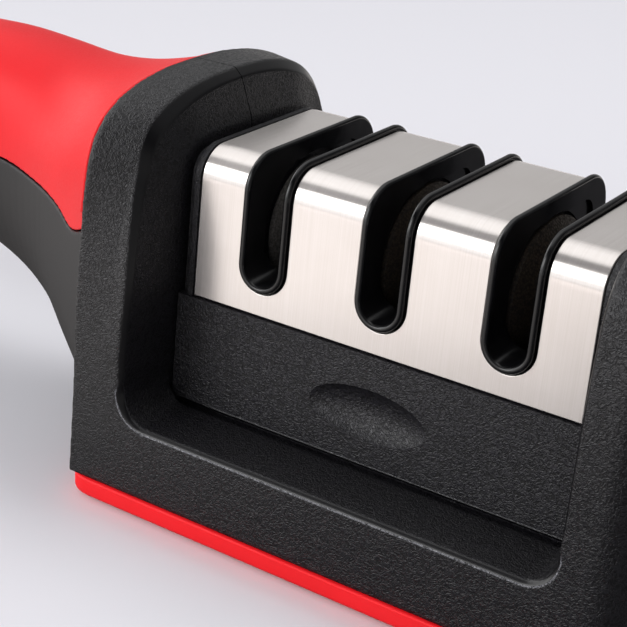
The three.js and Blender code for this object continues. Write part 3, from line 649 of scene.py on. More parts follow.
def soft_touch_tpe(name, colour, deep_colour):
    """Over-moulded TPE: an even satin skin with a faint cloudiness in its colour."""
    material, tree, place = new_material(name, IOR=1.45)
    cloud = add(tree, "TexNoise", {"Vector": place, "Scale": PER_METRE / TPE_CLOUD_SIZE, "Detail": 3.0})
    tone = add(tree, "ValToRGB", [cloud], stops=[(0.35, linear(deep_colour)), (0.65, linear(colour))])
    skin_noise = add(tree, "TexNoise", {"Vector": place, "Scale": PER_METRE / TPE_SKIN_SIZE, "Detail": 2.0})
    bump = add(tree, "Bump", {"Height": skin_noise, "Distance": TPE_SKIN_DEPTH * MM, "Strength": 0.5})
    roughness = add(tree, "MapRange", [skin_noise, NOISE_LOW, NOISE_HIGH, 0.42, 0.52])
    return wired(material, Base_Color=tone, Roughness=roughness, Normal=bump)


def brushed_stainless(name, colour, low_colour):
    """Brushed stainless sheet: very fine lines that run up the front and on over the fold. They spread the
    gloss sideways and scatter a part of the light, which Metallic below 1 stands for."""
    material, tree, place = new_material(name, Metallic=0.72, Anisotropic=0.72, Anisotropic_Rotation=0.25)
    tangent = add(tree, "Tangent", direction_type="RADIAL", axis="X")
    run = PER_METRE / STEEL_LINE_LENGTH
    stretch = (PER_METRE / STEEL_LINE_WIDTH, run, run)
    stretched = add(tree, "VectorMath", [place, stretch], operation="MULTIPLY")
    lines = add(tree, "TexNoise", {"Vector": stretched, "Scale": 1.0, "Detail": 3.0})
    cloud = add(tree, "TexNoise", {"Vector": place, "Scale": PER_METRE / STEEL_CLOUD_SIZE, "Detail": 3.0})
    both = add(tree, "Math", [cloud, 0.35, lines], operation="MULTIPLY_ADD")
    tone = add(tree, "ValToRGB", [both], stops=[(0.5, linear(low_colour)), (0.85, linear(colour))])
    bump = add(tree, "Bump", {"Height": lines, "Distance": STEEL_LINE_DEPTH * MM, "Strength": 0.3})
    roughness = add(tree, "MapRange", [lines, NOISE_LOW, NOISE_HIGH, 0.17, 0.21])
    return wired(material, Base_Color=tone, Roughness=roughness, Normal=bump, Tangent=tangent)


def ground_grit(name, low_colour, high_colour, grit_mm, metallic):
    """Abrasive: bonded or ground grains that catch the light one by one. The real grains are finer, and
    drawn coarser so that they show."""
    material, tree, place = new_material(name, Metallic=metallic)
    grains = add(tree, "TexVoronoi", {"Vector": place, "Scale": PER_METRE / grit_mm})
    tone = add(tree, "ValToRGB", [grains], stops=[(0.1, linear(high_colour)), (0.8, linear(low_colour))])
    bump = add(tree, "Bump", {"Height": grains, "Distance": 0.3 * grit_mm * MM, "Strength": 0.8})
    roughness = add(tree, "MapRange", [grains, NOISE_LOW, NOISE_HIGH, 0.5, 0.75])
    return wired(material, Base_Color=tone, Roughness=roughness, Normal=bump)


def mottled(name, values, size_mm, detail, low_colour, high_colour, roughness):
    """A plain finish with faint marks of this size in its colour and gloss."""
    material, tree, place = new_material(name, **values)
    marks = add(tree, "TexNoise", {"Vector": place, "Scale": PER_METRE / size_mm, "Detail": detail})
    stops = [(NOISE_LOW, linear(low_colour)), (NOISE_HIGH, linear(high_colour))]
    tone = add(tree, "ValToRGB", [marks], stops=stops)
    rough = add(tree, "MapRange", [marks, NOISE_LOW, NOISE_HIGH, *roughness])
    return wired(material, Base_Color=tone, Roughness=rough)


def polished_mould_abs():
    """Plain moulded ABS from a polished mould: a soft gloss with a trace of flow marks."""
    return mottled("polished_mould_abs", {"IOR": 1.53}, 2.5, 3.0, "#08080a", "#0e0e10", (0.17, 0.27))


def cold_drawn_steel():
    """Plain drawn steel rod and screws: grey, with a trace of drawing marks."""
    return mottled("cold_drawn_steel", {"Metallic": 1.0}, 0.5, 3.0, "#8b8b8d", "#b4b4b6", (0.28, 0.45))


def moulded_rubber():
    """Moulded rubber: dull, nearly black, with a dusty bloom."""
    return mottled("moulded_rubber", {"IOR": 1.52}, 1.5, 4.0, "#1d1d1e", "#2c2c2d", (0.78, 0.92))


# The last colour paints the lip line pale: rubbed wear and a painted highlight
GRAINED_ABS = moulded_abs("grained_moulded_abs", "#060508", "#19181c", "#707075")
PANEL_ABS = moulded_abs("grained_panel_abs", "#070609", "#201f24")
SATIN_ABS = polished_mould_abs()
RED_TPE = soft_touch_tpe("red_soft_touch_tpe", "#e3111b", "#dd0f19")
RED_ABS = soft_touch_tpe("red_moulded_abs", "#fa1620", "#f5131d")
STAINLESS = brushed_stainless("brushed_stainless", "#f4eeea", "#ebe4df")
# The ceramic discs are coloured darker than pale ceramic: a painted shade for the shade deep in the slot
SHADE_DARKENED_CERAMIC = ground_grit("ground_ceramic", "#3a3735", "#5c5955", 0.35, 0.0)
DIAMOND = ground_grit("bonded_diamond_grit", "#120e0c", "#33291f", 0.4, 0.0)
DRAWN_STEEL = cold_drawn_steel()
RUBBER = moulded_rubber()


# Housing
def body_form(inset, bottom):
    """Both posts and all between them as one block, offset inwards by inset."""
    start = -BODY_HALF_LENGTH - END_BULGE - OVERRUN
    stations = [(start, 0, 0)]
    for i in range(CURVE_STEPS + 1):
        share = i / CURVE_STEPS
        stations.append((-RIDGE_TOP_HALF_LENGTH - PINCH_LENGTH * (1 - share), 0, share))
    stations.append((PINCH_HOLD - RIDGE_TOP_HALF_LENGTH, 0, 1))
    stations.append((PINCH_END - RIDGE_TOP_HALF_LENGTH, 0, 0))
    for i in range(ARC_STEPS + 1):
        angle = i / ARC_STEPS * math.pi / 2
        x = BODY_HALF_LENGTH - END_ROUND + (END_ROUND - inset) * math.sin(angle)
        stations.append((x, END_ROUND * (1 - math.cos(angle)), 0))
    rings = [
        [(x, y, z) for y, z in arch_outline(inset + turned, bottom, SHOULDER_PINCH * pinch)]
        for x, turned, pinch in stations
    ]
    plan = rounded_plate(BODY_HALF_LENGTH - inset, BASE_HALF_DEPTH + OVERRUN, OVERRUN, END_BULGE)
    return meet(skin(rings), pull(plan, "z", bottom - OVERRUN, ARCH_TOP + OVERRUN))


RIDGE_SPLAY_START_SHARE = 0.52
RIDGE_SPLAY_END_SHARE = 0.94
BAY_REACH_SHARE = 1.3
BAY_CUTTER_STEPS = 110
BAY_CUTTER_LENGTH = 8
BAY_INNER_LENGTH = BAY_HALF_LENGTH - BAY_CUTTER_LENGTH


def ridge_outline(side):
    """The housing's cross-section at a post's ridge."""
    pinch = SHOULDER_PINCH if side < 0 else 0
    return evenly(arch_outline(0, FLOOR_HEIGHT, pinch), BAY_CUTTER_STEPS)


def ridge_splay(side, z):
    """How far a post's ridge leans out from the end of the bay at this height."""
    top_splay = RIDGE_TOP_SPLAY if side < 0 else END_RIDGE_TOP_SPLAY
    risen = smoothstep(z / ARCH_TOP, RIDGE_SPLAY_START_SHARE, RIDGE_SPLAY_END_SHARE)
    return lerp(RIDGE_SPLAY, top_splay, risen)


def bay_cutter(side):
    """One end of the bay: its side leans out from the cartridge to the post's ridge."""
    near = evenly(cartridge_outline(LIFT_GAP, FLOOR_HEIGHT), BAY_CUTTER_STEPS)
    wide = ridge_outline(side)

    def ring(share, on_face):
        points = []
        for p, q in zip(near, wide):
            y, z = lerp(p[0], q[0], share), lerp(p[1], q[1], share)
            x = BAY_HALF_LENGTH + ridge_splay(side, z) * min(share, 1) if on_face else BAY_INNER_LENGTH
            points.append((side * x, y, z))
        return points

    shares = [i / CURVE_STEPS for i in range(CURVE_STEPS + 1)] + [BAY_REACH_SHARE]
    return skin([ring(share, True) for share in shares] + [ring(BAY_REACH_SHARE, False)])


def lip_fillet(side, front):
    """The round corner between the bay's floor and a post."""

    def ring(y, corner):
        points = [(-OVERRUN, -OVERRUN), (LIP_RADIUS, -OVERRUN)]
        points += arc((LIP_RADIUS, LIP_RADIUS), LIP_RADIUS, math.pi * 1.5, math.pi)
        points.append((-OVERRUN, LIP_RADIUS))
        return [(side * (corner - u), front * y, FLOOR_HEIGHT + v) for u, v in points]

    inner = ring(PANEL_FOOT_DEPTH + LIFT_GAP * 2, BAY_HALF_LENGTH)
    return skin([inner, ring(BASE_HALF_DEPTH + OVERRUN, BAY_HALF_LENGTH + RIDGE_SPLAY)])


def post_edge(side):
    """The bay's edge on one post, from the rear lip over the top to the front lip. Each point has the
    way into the plastic beside the bay, the way in from the outside of the housing and the bevel's size."""
    wall_slope = (BASE_HALF_DEPTH - KNEE_HALF_DEPTH) / (KNEE_HEIGHT - TRIM_TOP)
    corner_x = BAY_HALF_LENGTH + RIDGE_SPLAY - LIP_RADIUS
    corner_z = FLOOR_HEIGHT + LIP_RADIUS
    size = EDGE_BEVEL if side < 0 else LIP_BEVEL

    def corner(front):
        points = []
        for out, up in arc((0, 0), LIP_RADIUS, -math.pi / 2, 0, ARC_STEPS // 2):
            z = corner_z + up
            y = KNEE_HALF_DEPTH + wall_slope * (KNEE_HEIGHT - z)
            into = Vector((side * out, 0, up)).normalized()
            inward = Vector((0, -front, -wall_slope)).normalized()
            place = Vector((side * (corner_x + out), front * y, z))
            points.append((place, into, inward, lerp(size, LIP_BEVEL, -up / LIP_RADIUS)))
        return points

    outline = ridge_outline(side)
    ridge = []
    for before, at, after in zip(outline, outline[1:], outline[2:]):
        y, z = at
        if z > corner_z + OVERRUN / 2:
            inward = Vector((0, after[1] - before[1], before[0] - after[0])).normalized()
            place = Vector((side * (BAY_HALF_LENGTH + ridge_splay(side, z)), y, z))
            ridge.append((place, Vector((side, 0, 0)), -inward, size))
    return corner(1) + ridge + corner(-1)[::-1]


BEVEL_NEAR_SHARE = 0.8
BEVEL_AWAY_SHARE = 1.8


def edge_bevel():
    """What the bevel takes off all round the edge of the bay, on both posts and both lips."""
    rings = []
    for place, into, inward, size in post_edge(-1) + post_edge(1)[::-1]:
        near, away = -size * BEVEL_NEAR_SHARE, size * BEVEL_AWAY_SHARE
        corners = ((away, near), (near, away), (near, near))
        rings.append([place + u * into + w * inward for u, w in corners])
    return skin(rings, closed=True)


# Handle lines as shares: along the handle, its top, its bottom and its half width
HANDLE_LINE_SHARES = [
    (0, 0.95, -0.53, 1.4),
    (0.1, 0.94, -0.435, 1.25),
    (0.18, 0.95, -0.27, 1.12),
    (0.27, 0.985, -0.12, 1.04),
    (0.37, 1, -0.01, 1),
    (0.52, 0.97, 0.06, 1),
    (0.7, 0.9, 0.05, 1.04),
    (0.85, 0.83, 0.03, 1),
    (1, 0.75, 0.03, 0.9),
]
HANDLE_ROUNDNESS = 2.3
END_CAP_SHARE = 0.86
BELLY_SHARE = 0.3


def handle_lines(share):
    """The handle's top, bottom and half width at this share of its length."""
    rows = HANDLE_LINE_SHARES
    last = len(rows) - 1
    i = next(k for k in range(last) if share <= rows[k + 1][0])
    span = rows[i + 1][0] - rows[i][0]
    t = (share - rows[i][0]) / span

    def slope(k, n):
        after, before = rows[min(k + 1, last)], rows[max(k - 1, 0)]
        return (after[n] - before[n]) / (after[0] - before[0])

    def line(n):
        return hermite(rows[i][n], rows[i + 1][n], span * slope(i, n), span * slope(i + 1, n), t)

    top, bottom = (HANDLE_LIFT + HANDLE_HEIGHT * line(n) for n in (1, 2))
    return top, bottom, HANDLE_HALF_WIDTH * line(3)


def flare_outline():
    """What the handle flares out to: the arch above the knee, a round belly below it."""
    upper = [p for p in arch_outline(GRIP_STEP, 0) if p[1] > KNEE_HEIGHT - OVERRUN / 2]
    low = KNEE_HEIGHT * BELLY_SHARE
    side = GRIP_STEP - KNEE_HALF_DEPTH
    turns = [(side, (KNEE_HEIGHT + low) / 2), (side * CROWN_TURN_SHARE, low)]
    belly = bend([(side, KNEE_HEIGHT), *turns, (0, low)])
    return upper + belly + [(-y, z) for y, z in reversed(belly[:-1])]


def reach(outline, centre_z, angle):
    """How far an outline is from a centre along an angle."""
    dy, dz = math.cos(angle), math.sin(angle)
    best = 0
    for p, q in zip(outline, outline[1:] + outline[:1]):
        ey, ez = q[0] - p[0], q[1] - p[1]
        cross = dy * ez - dz * ey
        if abs(cross) < PARALLEL:
            continue
        along = (p[0] * ez - (p[1] - centre_z) * ey) / cross
        share = (p[0] * dz - (p[1] - centre_z) * dy) / cross
        if 0 <= share <= 1 and along > best:
            best = along
    return best


def handle_form(inset):
    """The handle, from the post's end wall to its tip, offset inwards by inset."""
    flare = flare_outline()
    flare_centre = (ARCH_TOP + KNEE_HEIGHT * BELLY_SHARE) / 2
    angles = [i / HANDLE_SIDES * 2 * math.pi for i in range(HANDLE_SIDES)]
    reaches = [reach(flare, flare_centre, angle) for angle in angles]

    def ring(share, extra, back):
        top, bottom, half_width = handle_lines(share)
        x = -BODY_HALF_LENGTH - share * HANDLE_LENGTH + back
        flared = 1 - (1 - min(share * HANDLE_LENGTH / FLARE_LENGTH, 1)) ** FLARE_POWER
        capped = max((share - END_CAP_SHARE) / (1 - END_CAP_SHARE), 0)
        cap = math.sqrt(max(1 - capped**2, 0))
        half_height = (top - bottom) / 2 * cap
        half_width *= cap
        centre = lerp(flare_centre, (top + bottom) / 2, flared)
        points = []
        for angle, wide in zip(angles, reaches):
            c, s = math.cos(angle), math.sin(angle)
            power = (abs(c) / half_width) ** HANDLE_ROUNDNESS + (abs(s) / half_height) ** HANDLE_ROUNDNESS
            oval = power ** (-1 / HANDLE_ROUNDNESS)
            radius = max(lerp(wide, oval, flared) - inset - extra, TIP_RADIUS)
            y = radius * c
            bow = END_BULGE * (1 - (y / KNEE_HALF_DEPTH) ** 2) * (1 - flared)
            points.append((x - bow, y, centre + radius * s))
        return points

    shares = [HANDLE_END_SHARE * (1 - math.cos(i / HANDLE_STATIONS * math.pi)) / 2
              for i in range(HANDLE_STATIONS + 1)]
    rings = [ring(0, SEAT_GAP, END_BULGE)]
    rings += [ring(share, SEAT_GAP if share == 0 else 0, 0) for share in shares]
    return skin(rings)


# Where the red grip meets the black handle, seen from the front, as shares of the handle's length and of
# the grip's height
GRIP_LINE_SHARES = [
    (0, 0.02),
    (0.05, -0.1),
    (0.11, -0.05),
    (0.19, -0.01),
    (0.28, 0.055),
    (0.45, 0.08),
    (0.65, 0.06),
    (0.84, 0.04),
]
GRIP_END_SHARE = 0.955


def grip_zone(grow):
    """Everything above the line where the grip ends, as a block through the handle."""
    line = [
        (-BODY_HALF_LENGTH - along * HANDLE_LENGTH, HANDLE_LIFT + GRIP_HEIGHT * (1 + up) - grow)
        for along, up in GRIP_LINE_SHARES
    ]
    end = -BODY_HALF_LENGTH - GRIP_END_SHARE * HANDLE_LENGTH - grow
    inner = OVERRUN - RIDGE_TOP_HALF_LENGTH
    outline = [(inner, FAR), (inner, line[0][1])]
    outline += smooth_through(line)[1:]
    outline += bend([line[-1], (end, line[-1][1]), (end, ARCH_TOP)])
    outline += [(end, FAR)]
    return pull(outline, "y", -FAR, FAR)


def foot_groove(front):
    """The groove in the bay's floor below the lower edge of the cartridge's panel."""
    near, away = PANEL_FOOT_DEPTH + GROOVE_MARGIN - GROOVE_WIDTH, PANEL_FOOT_DEPTH + GROOVE_MARGIN
    low, high = sorted((front * near, front * away))
    bottom = FLOOR_HEIGHT - GROOVE_DEPTH
    return box((-BAY_HALF_LENGTH, low, bottom), (BAY_HALF_LENGTH, high, FLOOR_HEIGHT + OVERRUN))


def make_housing():
    """The black moulded housing, made whole and then parted at the seam into its front and rear shells."""
    body = body_form(0, TRIM_TOP)
    places = [(side, front) for side in (-1, 1) for front in (-1, 1)]
    fillets = [meet(lip_fillet(side, front), copied(body)) for side, front in places]
    inner = BAY_INNER_LENGTH + OVERRUN
    bay = box((-inner, -FAR, FLOOR_HEIGHT), (inner, FAR, FAR))
    cut(body, bay, bay_cutter(-1), bay_cutter(1))
    handle = join(cut(handle_form(0), grip_zone(SEAT_GAP)), handle_form(GRIP_WALL + SEAT_GAP))
    join(body, *fillets, handle)
    sockets = [
        box(
            (x - TONGUE_LENGTH / 2 - LIFT_GAP, -TONGUE_DEPTH / 2 - LIFT_GAP, FLOOR_HEIGHT - SOCKET_DEPTH),
            (x + TONGUE_LENGTH / 2 + LIFT_GAP, TONGUE_DEPTH / 2 + LIFT_GAP, FLOOR_HEIGHT + OVERRUN),
        )
        for x in (SLOT_PLACES[0], SLOT_PLACES[-1])
    ]
    cut(body, *sockets, foot_groove(-1), foot_groove(1), edge_bevel())
    softened(body, SHELL_VOXEL, SHELL_SMOOTHING, SHELL_KEPT_SHARE)
    for side, node in ((-1, "front_shell"), (1, "rear_shell")):
        near, away = sorted((side * SEAM_GAP / 2, side * FAR))
        half = meet(copied(body), box((-FAR, near, -FAR), (FAR, away, FAR)))
        shaded(half, sharp_from=45)
        placed(half, f"{node}_moulding", "housing", GRAINED_ABS, "black_grained_plastic", node)
    bpy.data.meshes.remove(body.data)


def grip_lip():
    """The thin raised lip of the grip where it meets the post."""
    foot = HANDLE_LIFT + GRIP_HEIGHT + OVERRUN
    line = [p for p in arch_outline(GRIP_STEP + GRIP_LIP_INSET, 0) if p[1] > foot]
    rings = []
    for before, at, after in zip(line, line[1:], line[2:]):
        bow = END_BULGE * (1 - (at[0] / KNEE_HALF_DEPTH) ** 2)
        outward = Vector((0, after[1] - before[1], before[0] - after[0])).normalized()
        place = Vector((-BODY_HALF_LENGTH - bow - GRIP_LIP_RADIUS - RUNNING_GAP, *at))
        rings.append(circle(place, GRIP_LIP_RADIUS, Vector((1, 0, 0)), outward, GRIP_LIP_SIDES))
    return skin(rings)


def make_grip():
    """The red saddle over the handle, with its lip along the post."""
    grip = meet(handle_form(0), grip_zone(0))
    cut(grip, handle_form(GRIP_WALL), body_form(-SEAT_GAP, TRIM_TOP))
    join(grip, grip_lip())
    softened(grip, GRIP_VOXEL, GRIP_SMOOTHING, GRIP_KEPT_SHARE)
    placed(grip, "grip_overmoulding", "housing", RED_TPE, "red_soft_plastic", "grip_cover")


def make_base_trim():
    """The red strip round the foot, rounded over below and stepped in at the top."""
    height = TRIM_TOP - TRIM_BOTTOM
    low, high = TRIM_LOW_RADIUS, TRIM_HIGH_RADIUS
    profile = [(-TRIM_WIDTH, 0)]
    profile += arc((-low, low), low, -math.pi / 2, 0, TRIM_LOW_STEPS)
    profile += arc((-high, height - high), high, 0, math.pi / 2, TRIM_HIGH_STEPS)
    profile += [(-TRIM_WIDTH, height)]
    rings = []
    for out, up in profile:
        plan = rounded_plate(
            BODY_HALF_LENGTH + TRIM_PROUD + out,
            BASE_HALF_DEPTH + TRIM_PROUD + out,
            max(TRIM_CORNER_RADIUS + out, OVERRUN),
            END_BULGE / 2,
        )
        rings.append([(x, y, TRIM_BOTTOM + up) for x, y in plan])
    trim = skin(rings, closed=True)
    shaded(trim, sharp_from=35)
    placed(trim, "base_trim_strip", "housing", RED_ABS, "red_plastic", "base_trim")


# Cartridge
def slot_tools(half_width, bottom):
    """A cutter for each knife slot."""
    return [shifted(pull(slot_outline(half_width, bottom, FAR), "y", -FAR, FAR), x) for x in SLOT_PLACES]


def thumb_dish(front):
    """The ball, stretched along X, that leaves the shallow oval recess for a thumb."""
    chord = THUMB_HEIGHT / 2
    radius = (chord**2 + THUMB_DEPTH**2) / (2 * THUMB_DEPTH)
    face = CARTRIDGE_TOP_HALF_DEPTH + PANEL_PROUD + CARTRIDGE_DRAFT * THUMB_DROP
    place = (SLOT_PLACES[1], front * (face + radius - THUMB_DEPTH), CARTRIDGE_TOP - THUMB_DROP)
    ball = bmesh.new()
    bmesh.ops.create_uvsphere(ball, u_segments=ROUND_STEPS, v_segments=ROUND_STEPS // 2, radius=radius)
    mesh = bpy.data.meshes.new("form")
    ball.to_mesh(mesh)
    ball.free()
    mesh.transform(Matrix.Translation(place) @ Matrix.Diagonal((THUMB_WIDTH / THUMB_HEIGHT, 1, 1, 1)))
    return linked("form", mesh)


def make_cartridge_case():
    """The black block that carries everything sharp: ends, lower panels, ledge and thumb recesses."""
    length = CARTRIDGE_HALF_LENGTH
    bottom = CARTRIDGE_BOTTOM
    ledge = STEEL_BOTTOM - SEAT_GAP
    left, right = STEEL_ENDS
    case = pull(cartridge_outline(0, bottom), "x", left - FLANGE_WIDTH, right + FLANGE_WIDTH)
    cut(case, box((left - SEAT_GAP, -FAR, ledge), (right + SEAT_GAP, FAR, FAR)))
    core = pull(cartridge_outline(-FLANGE_STEP, bottom), "x", -length, length)
    panels = meet(
        pull(cartridge_outline(PANEL_PROUD, bottom), "x", -length, length),
        box((-FAR, -FAR, -FAR), (FAR, FAR, ledge)),
    )
    join(case, core, panels)
    corner = CARTRIDGE_CORNER_RADIUS
    end = [(-length, FAR), (-length, bottom + corner)]
    end += bend([(-length, bottom + corner), (-length, bottom), (corner - length, bottom)])
    meet(case, pull(mirrored(end + [(0, bottom)]), "y", -FAR, FAR))
    window = bar(WHEEL_RADIUS + WHEEL_GAP, "x", (0, AXLE_HEIGHT), -SLOT_CUT_HALF_WIDTH, SLOT_CUT_HALF_WIDTH)
    windows = [shifted(copied(window), x) for x in SLOT_PLACES]
    bpy.data.meshes.remove(window.data)
    cut(case, *slot_tools(SLOT_CUT_HALF_WIDTH, SLOT_BOTTOM), *windows, thumb_dish(-1), thumb_dish(1))
    edged(case, CASE_EDGE, angle=55)
    node = "cartridge_case"
    placed(case, f"{node}_moulding", "cartridge", PANEL_ABS, "black_grained_plastic", node)


def make_steel_cover():
    """The folded sheet with its slot cut-outs, its cut edges just broken."""
    sheet = pull(cartridge_outline(0, STEEL_BOTTOM), "x", *STEEL_ENDS)
    inside = pull(cartridge_outline(-STEEL_THICKNESS, STEEL_BOTTOM - OVERRUN), "x", -FAR, FAR)
    cut(sheet, inside, *slot_tools(SLOT_CUT_HALF_WIDTH, SLOT_BOTTOM))
    edged(sheet, STEEL_EDGE, angle=40)
    placed(sheet, "steel_cover_sheet", "cartridge", STAINLESS, "brushed_steel", "steel_cover")


def recess_outline():
    """The shallow recess in both walls of a liner, around its wheels, in Y and Z."""
    top = CARTRIDGE_TOP - RECESS_DROP
    depth = RECESS_HALF_DEPTH
    corner = bend([(depth, top - RECESS_RADIUS), (depth, top), (depth - RECESS_RADIUS, top)])
    foot = (depth, SLOT_BOTTOM + SEAT_GAP + LINER_HALF_WIDTH)
    return mirrored([foot, (depth, top - RECESS_RADIUS), *corner, (0, top)])


def rim_path(half_width, grow, bottom):
    """The closed line of a liner's rim: down the front, round under the slot, and over to the rear."""
    centre_z = bottom + LINER_HALF_WIDTH
    side = [Vector((0, y, z)) for y, z in cartridge_outline(grow, centre_z)]
    facings = []
    for i in range(len(side)):
        along = side[min(i + 1, len(side) - 1)] - side[max(i - 1, 0)]
        facings.append(Vector((0, along.z, -along.y)).normalized())
    right = [(p + Vector((half_width, 0, 0)), n) for p, n in zip(side, facings)]
    left = [(p - Vector((half_width, 0, 0)), n) for p, n in zip(side, facings)]
    under = arc((0, 0), half_width, 0, -math.pi)[1:-1]
    front = [(side[-1] + Vector((x, CARTRIDGE_DRAFT * z, z)), facings[-1]) for x, z in under]
    rear = [(side[0] + Vector((-x, -CARTRIDGE_DRAFT * z, z)), facings[0]) for x, z in under]
    return right + front + left[::-1] + rear


def make_slot_liners():
    """Three liners with a round rim, recessed and open at the sides where the wheels stand."""
    bottom = SLOT_BOTTOM + SEAT_GAP
    bead_radius = RIM_WIDTH / 2
    land = RIM_PROUD - bead_radius
    liner = pull(cartridge_outline(land, CARTRIDGE_BOTTOM), "x", -LINER_HALF_WIDTH, LINER_HALF_WIDTH)
    meet(liner, pull(slot_outline(LINER_HALF_WIDTH, bottom, FAR), "y", -FAR, FAR))
    channel = pull(slot_outline(SLOT_HALF_WIDTH, bottom + RIM_WIDTH, FAR), "y", -FAR, FAR)
    window = bar(WHEEL_RADIUS + WHEEL_GAP, "x", (0, AXLE_HEIGHT), -FAR, FAR)
    recess_reach = SLOT_HALF_WIDTH + RECESS_DEPTH
    recess = pull(recess_outline(), "x", -recess_reach, recess_reach)
    cut(liner, channel, window, recess)
    join(liner, bead(rim_path(SLOT_HALF_WIDTH + bead_radius, land, bottom), bead_radius))
    shaded(liner, sharp_from=30)
    for i, x in enumerate(SLOT_PLACES, 1):
        node = f"slot_liner_{i}"
        twin = shifted(copied(liner), x)
        placed(twin, f"{node}_moulding", "cartridge", SATIN_ABS, "black_liner_plastic", node)
    bpy.data.meshes.remove(liner.data)


def make_wheels():
    """A pair of bevelled abrasive discs for each slot, ground away towards the rim."""
    forward, up = Vector((0, 1, 0)), Vector((0, 0, 1))
    bore = AXLE_RADIUS + RUNNING_GAP
    root = WHEEL_VEE_GAP / 2
    back = LINER_HALF_WIDTH
    chamfer = WHEEL_CHAMFER
    for number, x in enumerate(SLOT_PLACES, 1):
        material, slot = (SHADE_DARKENED_CERAMIC, "ceramic") if number == 1 else (DIAMOND, "diamond_grit")
        rim = FINE_WHEEL_RADIUS if number == 1 else WHEEL_RADIUS
        profile = [
            (bore, root + chamfer),
            (bore + chamfer, root),
            (WHEEL_ROOT_RADIUS, root),
            (rim, SLOT_HALF_WIDTH),
            (rim, back - chamfer),
            (rim - chamfer, back),
            (bore, back),
        ]
        for side, word in ((-1, "left"), (1, "right")):
            rings = []
            for radius, along in profile:
                centre = Vector((x + side * along, 0, AXLE_HEIGHT))
                rings.append(circle(centre, radius, forward, up, ROUND_STEPS))
            disc = skin(rings, closed=True)
            shaded(disc, sharp_from=20)
            node = f"wheel_{number}_{word}"
            placed(disc, f"{node}_disc", f"stage_{number}_wheels", material, slot, node)


def finish_plain_nodes():
    """Gives the CAD nodes that keep their own shape their finish."""
    finishes = {
        "_plate": SATIN_ABS,
        "_spacer": SATIN_ABS,
        "_axle": DRAWN_STEEL,
        "_screw": DRAWN_STEEL,
        "foot_": RUBBER,
    }
    for node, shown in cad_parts.items():
        for word, material in finishes.items():
            if word in node:
                shown.material_slots[0].material = material


# Studio
FLOOR_REACH = 3.0
GLOW_PLACE = Vector((-0.35, -0.5, 0))
GLOW_INNER = 0.48
GLOW_OUTER = 0.6
GLOW_FAR = 0.9
GLOW_STRENGTH = 1.0


def make_floor():
    """A wide pale floor. Gloss and metal see it dimmer, a painted shade, but for a patch in front of the
    object and the floor far away, which glow for them: a painted reflection of lit floor."""
    corners = [(-1, -1), (1, -1), (1, 1), (-1, 1)]
    mesh = bpy.data.meshes.new("studio_floor")
    mesh.from_pydata([(x * FLOOR_REACH, y * FLOOR_REACH, 0) for x, y in corners], [], [(0, 1, 2, 3)])
    floor = linked("studio_floor", mesh)
    material, tree, place = new_material("pale_floor", Roughness=0.7, Emission_Color=linear("#fbf4ef"))
    # Gloss and metal see the floor darkened, a painted shade, and the patch below glowing, a painted
    # reflection
    seen = add(tree, "LightPath", output="Is Glossy Ray")
    tone = add(tree, "ValToRGB", [seen], stops=[(0.0, linear("#e8e7ec")), (1.0, linear("#48474a"))])
    away = add(tree, "VectorMath", [place, GLOW_PLACE], "Value", operation="DISTANCE")
    lit = [(GLOW_INNER, WHITE), (GLOW_OUTER, BLACK), (GLOW_FAR, BLACK), (1.0, WHITE)]
    patch = add(tree, "ValToRGB", [away], stops=lit)
    glow = add(tree, "Math", [patch, GLOW_STRENGTH], operation="MULTIPLY")
    shown = add(tree, "Math", [seen, glow], operation="MULTIPLY")
    wired(material, Base_Color=tone, Emission_Strength=shown)
    mesh.materials.append(material)


def make_light(name, place, target, size, power):
    light = bpy.data.lights.new(name, "AREA")
    light.shape = "RECTANGLE"
    light.size, light.size_y = size
    light.energy = power
    lamp = linked(name, light)
    lamp.location = place
    lamp.rotation_euler = (Vector(target) - Vector(place)).to_track_quat("-Z", "Y").to_euler()
    lamp.visible_glossy = False


# What gloss and metal see above the floor: the share of half a turn from the back, over the top, to the
# front, and the light there. It has a grey back wall, a wide softbox overhead, a dark gap and a bright
# sweep in front
ROOM_STOPS = [
    (0.0, 0.36), (0.11, 0.3), (0.15, 0.28), (0.21, 0.44), (0.27, 0.66),
    (0.37, 0.9), (0.52, 0.92), (0.56, 0.75), (0.59, 0.4), (0.612, 0.02),
    (0.718, 0.02), (0.744, 0.4), (0.78, 0.8), (0.88, 0.95), (1.0, 0.98),
]
ROOM_STRENGTH = 1.2
FILL_STRENGTH = 0.52
# The room is dim on the right: how far right the way goes, and the share of the light that is left
RIGHT_WALL = [(0.05, WHITE), (0.4, grey(0.2))]
# Softboxes that gloss and metal see: the way to each, the cosine where its edge starts and its strength
SOFTBOXES = [
    (Vector((-0.95, -0.15, 0.32)), 0.86, 1.7),
    (Vector((-0.5, -0.745, 0.44)), 0.96, 4.0),
]
SOFTBOX_EDGE = 0.02


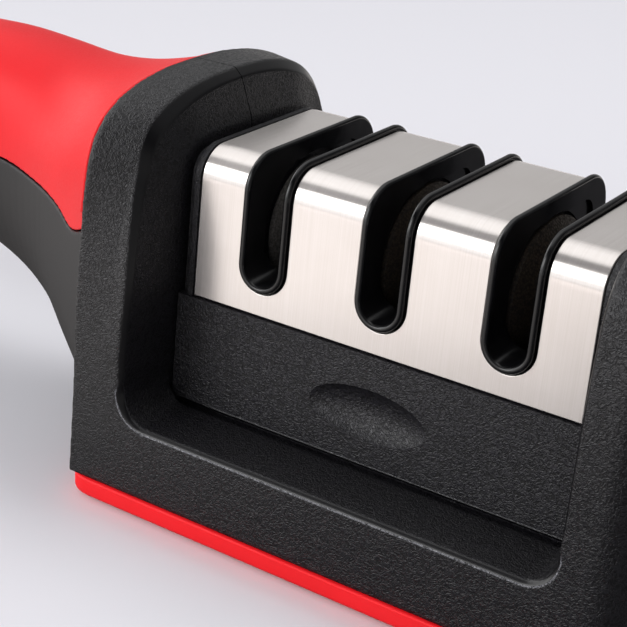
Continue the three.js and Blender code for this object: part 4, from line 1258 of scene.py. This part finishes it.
def make_world():
    """A pale room: an even soft fill, and for gloss and metal the softboxes and walls of the studio."""
    world = bpy.data.worlds.new("studio")
    world.use_nodes = True
    tree = world.node_tree
    tree.nodes.clear()
    way = add(tree, "TexCoord", output="Generated")
    parts = add(tree, "SeparateXYZ", [way]).node.outputs
    turn = add(tree, "Math", [parts["Z"], parts["Y"]], operation="ARCTAN2")
    share = add(tree, "Math", [turn, math.pi], operation="DIVIDE")
    arch = add(tree, "ValToRGB", [share], stops=[(at, grey(level)) for at, level in ROOM_STOPS])
    sideways = add(tree, "ValToRGB", [parts["X"]], stops=RIGHT_WALL)
    room = add(tree, "VectorMath", [arch, sideways], operation="MULTIPLY")
    studio = add(tree, "Background", [room, ROOM_STRENGTH])
    for centre, edge, strength in SOFTBOXES:
        towards = add(tree, "VectorMath", [way, centre.normalized()], "Value", operation="DOT_PRODUCT")
        softbox = add(tree, "ValToRGB", [towards], stops=[(edge, BLACK), (edge + SOFTBOX_EDGE, WHITE)])
        studio = add(tree, "AddShader", [studio, add(tree, "Background", [softbox, strength])])
    rays = add(tree, "LightPath").node.outputs
    soft = add(tree, "Background", [linear("#f3f3f7"), FILL_STRENGTH])
    unseen = add(tree, "MixShader", [rays["Is Glossy Ray"], soft, studio])
    shown = add(tree, "Background", [linear("#ecedef"), 1.0])
    both = add(tree, "MixShader", [rays["Is Camera Ray"], unseen, shown])
    output = tree.nodes.new("ShaderNodeOutputWorld")
    tree.links.new(both, output.inputs["Surface"])
    bpy.context.scene.world = world


# The camera, solved from the photograph's straight edges
IMAGE_SIZE = 627
FOCAL_PIXELS = 1641.3
SENSOR = 36.0
CLIP_START = 0.01
CAMERA_PLACE = Vector((115.32, -214.91, 142.55))
CAMERA_RIGHT = Vector((0.82422, 0.56379, 0.05301))
CAMERA_DOWN = Vector((0.26942, -0.30809, -0.91241))


def make_camera():
    data = bpy.data.cameras.new("photo_camera")
    data.sensor_width = SENSOR
    data.lens = FOCAL_PIXELS * SENSOR / IMAGE_SIZE
    data.clip_start = CLIP_START
    camera = linked("photo_camera", data)
    turn = Matrix((CAMERA_RIGHT, -CAMERA_DOWN, CAMERA_DOWN.cross(CAMERA_RIGHT))).transposed().to_4x4()
    place = (CAMERA_PLACE + Vector((MIDDLE_X, 0, 0))) * MM
    camera.matrix_world = Matrix.Translation(place) @ turn
    bpy.context.scene.camera = camera


make_camera()
make_world()
make_floor()
make_light("window_side", (-0.55, -0.75, 0.5), (0, 0, 0.03), (0.6, 0.5), 7.2)
make_light("overhead", (0.2, 0.4, 0.9), (0.1, 0.1, 0.0), (0.7, 0.5), 3.8)
make_housing()
make_grip()
make_base_trim()
make_cartridge_case()
make_steel_cover()
make_slot_liners()
make_wheels()
finish_plain_nodes()

bpy.context.scene.view_settings.view_transform = "Standard"
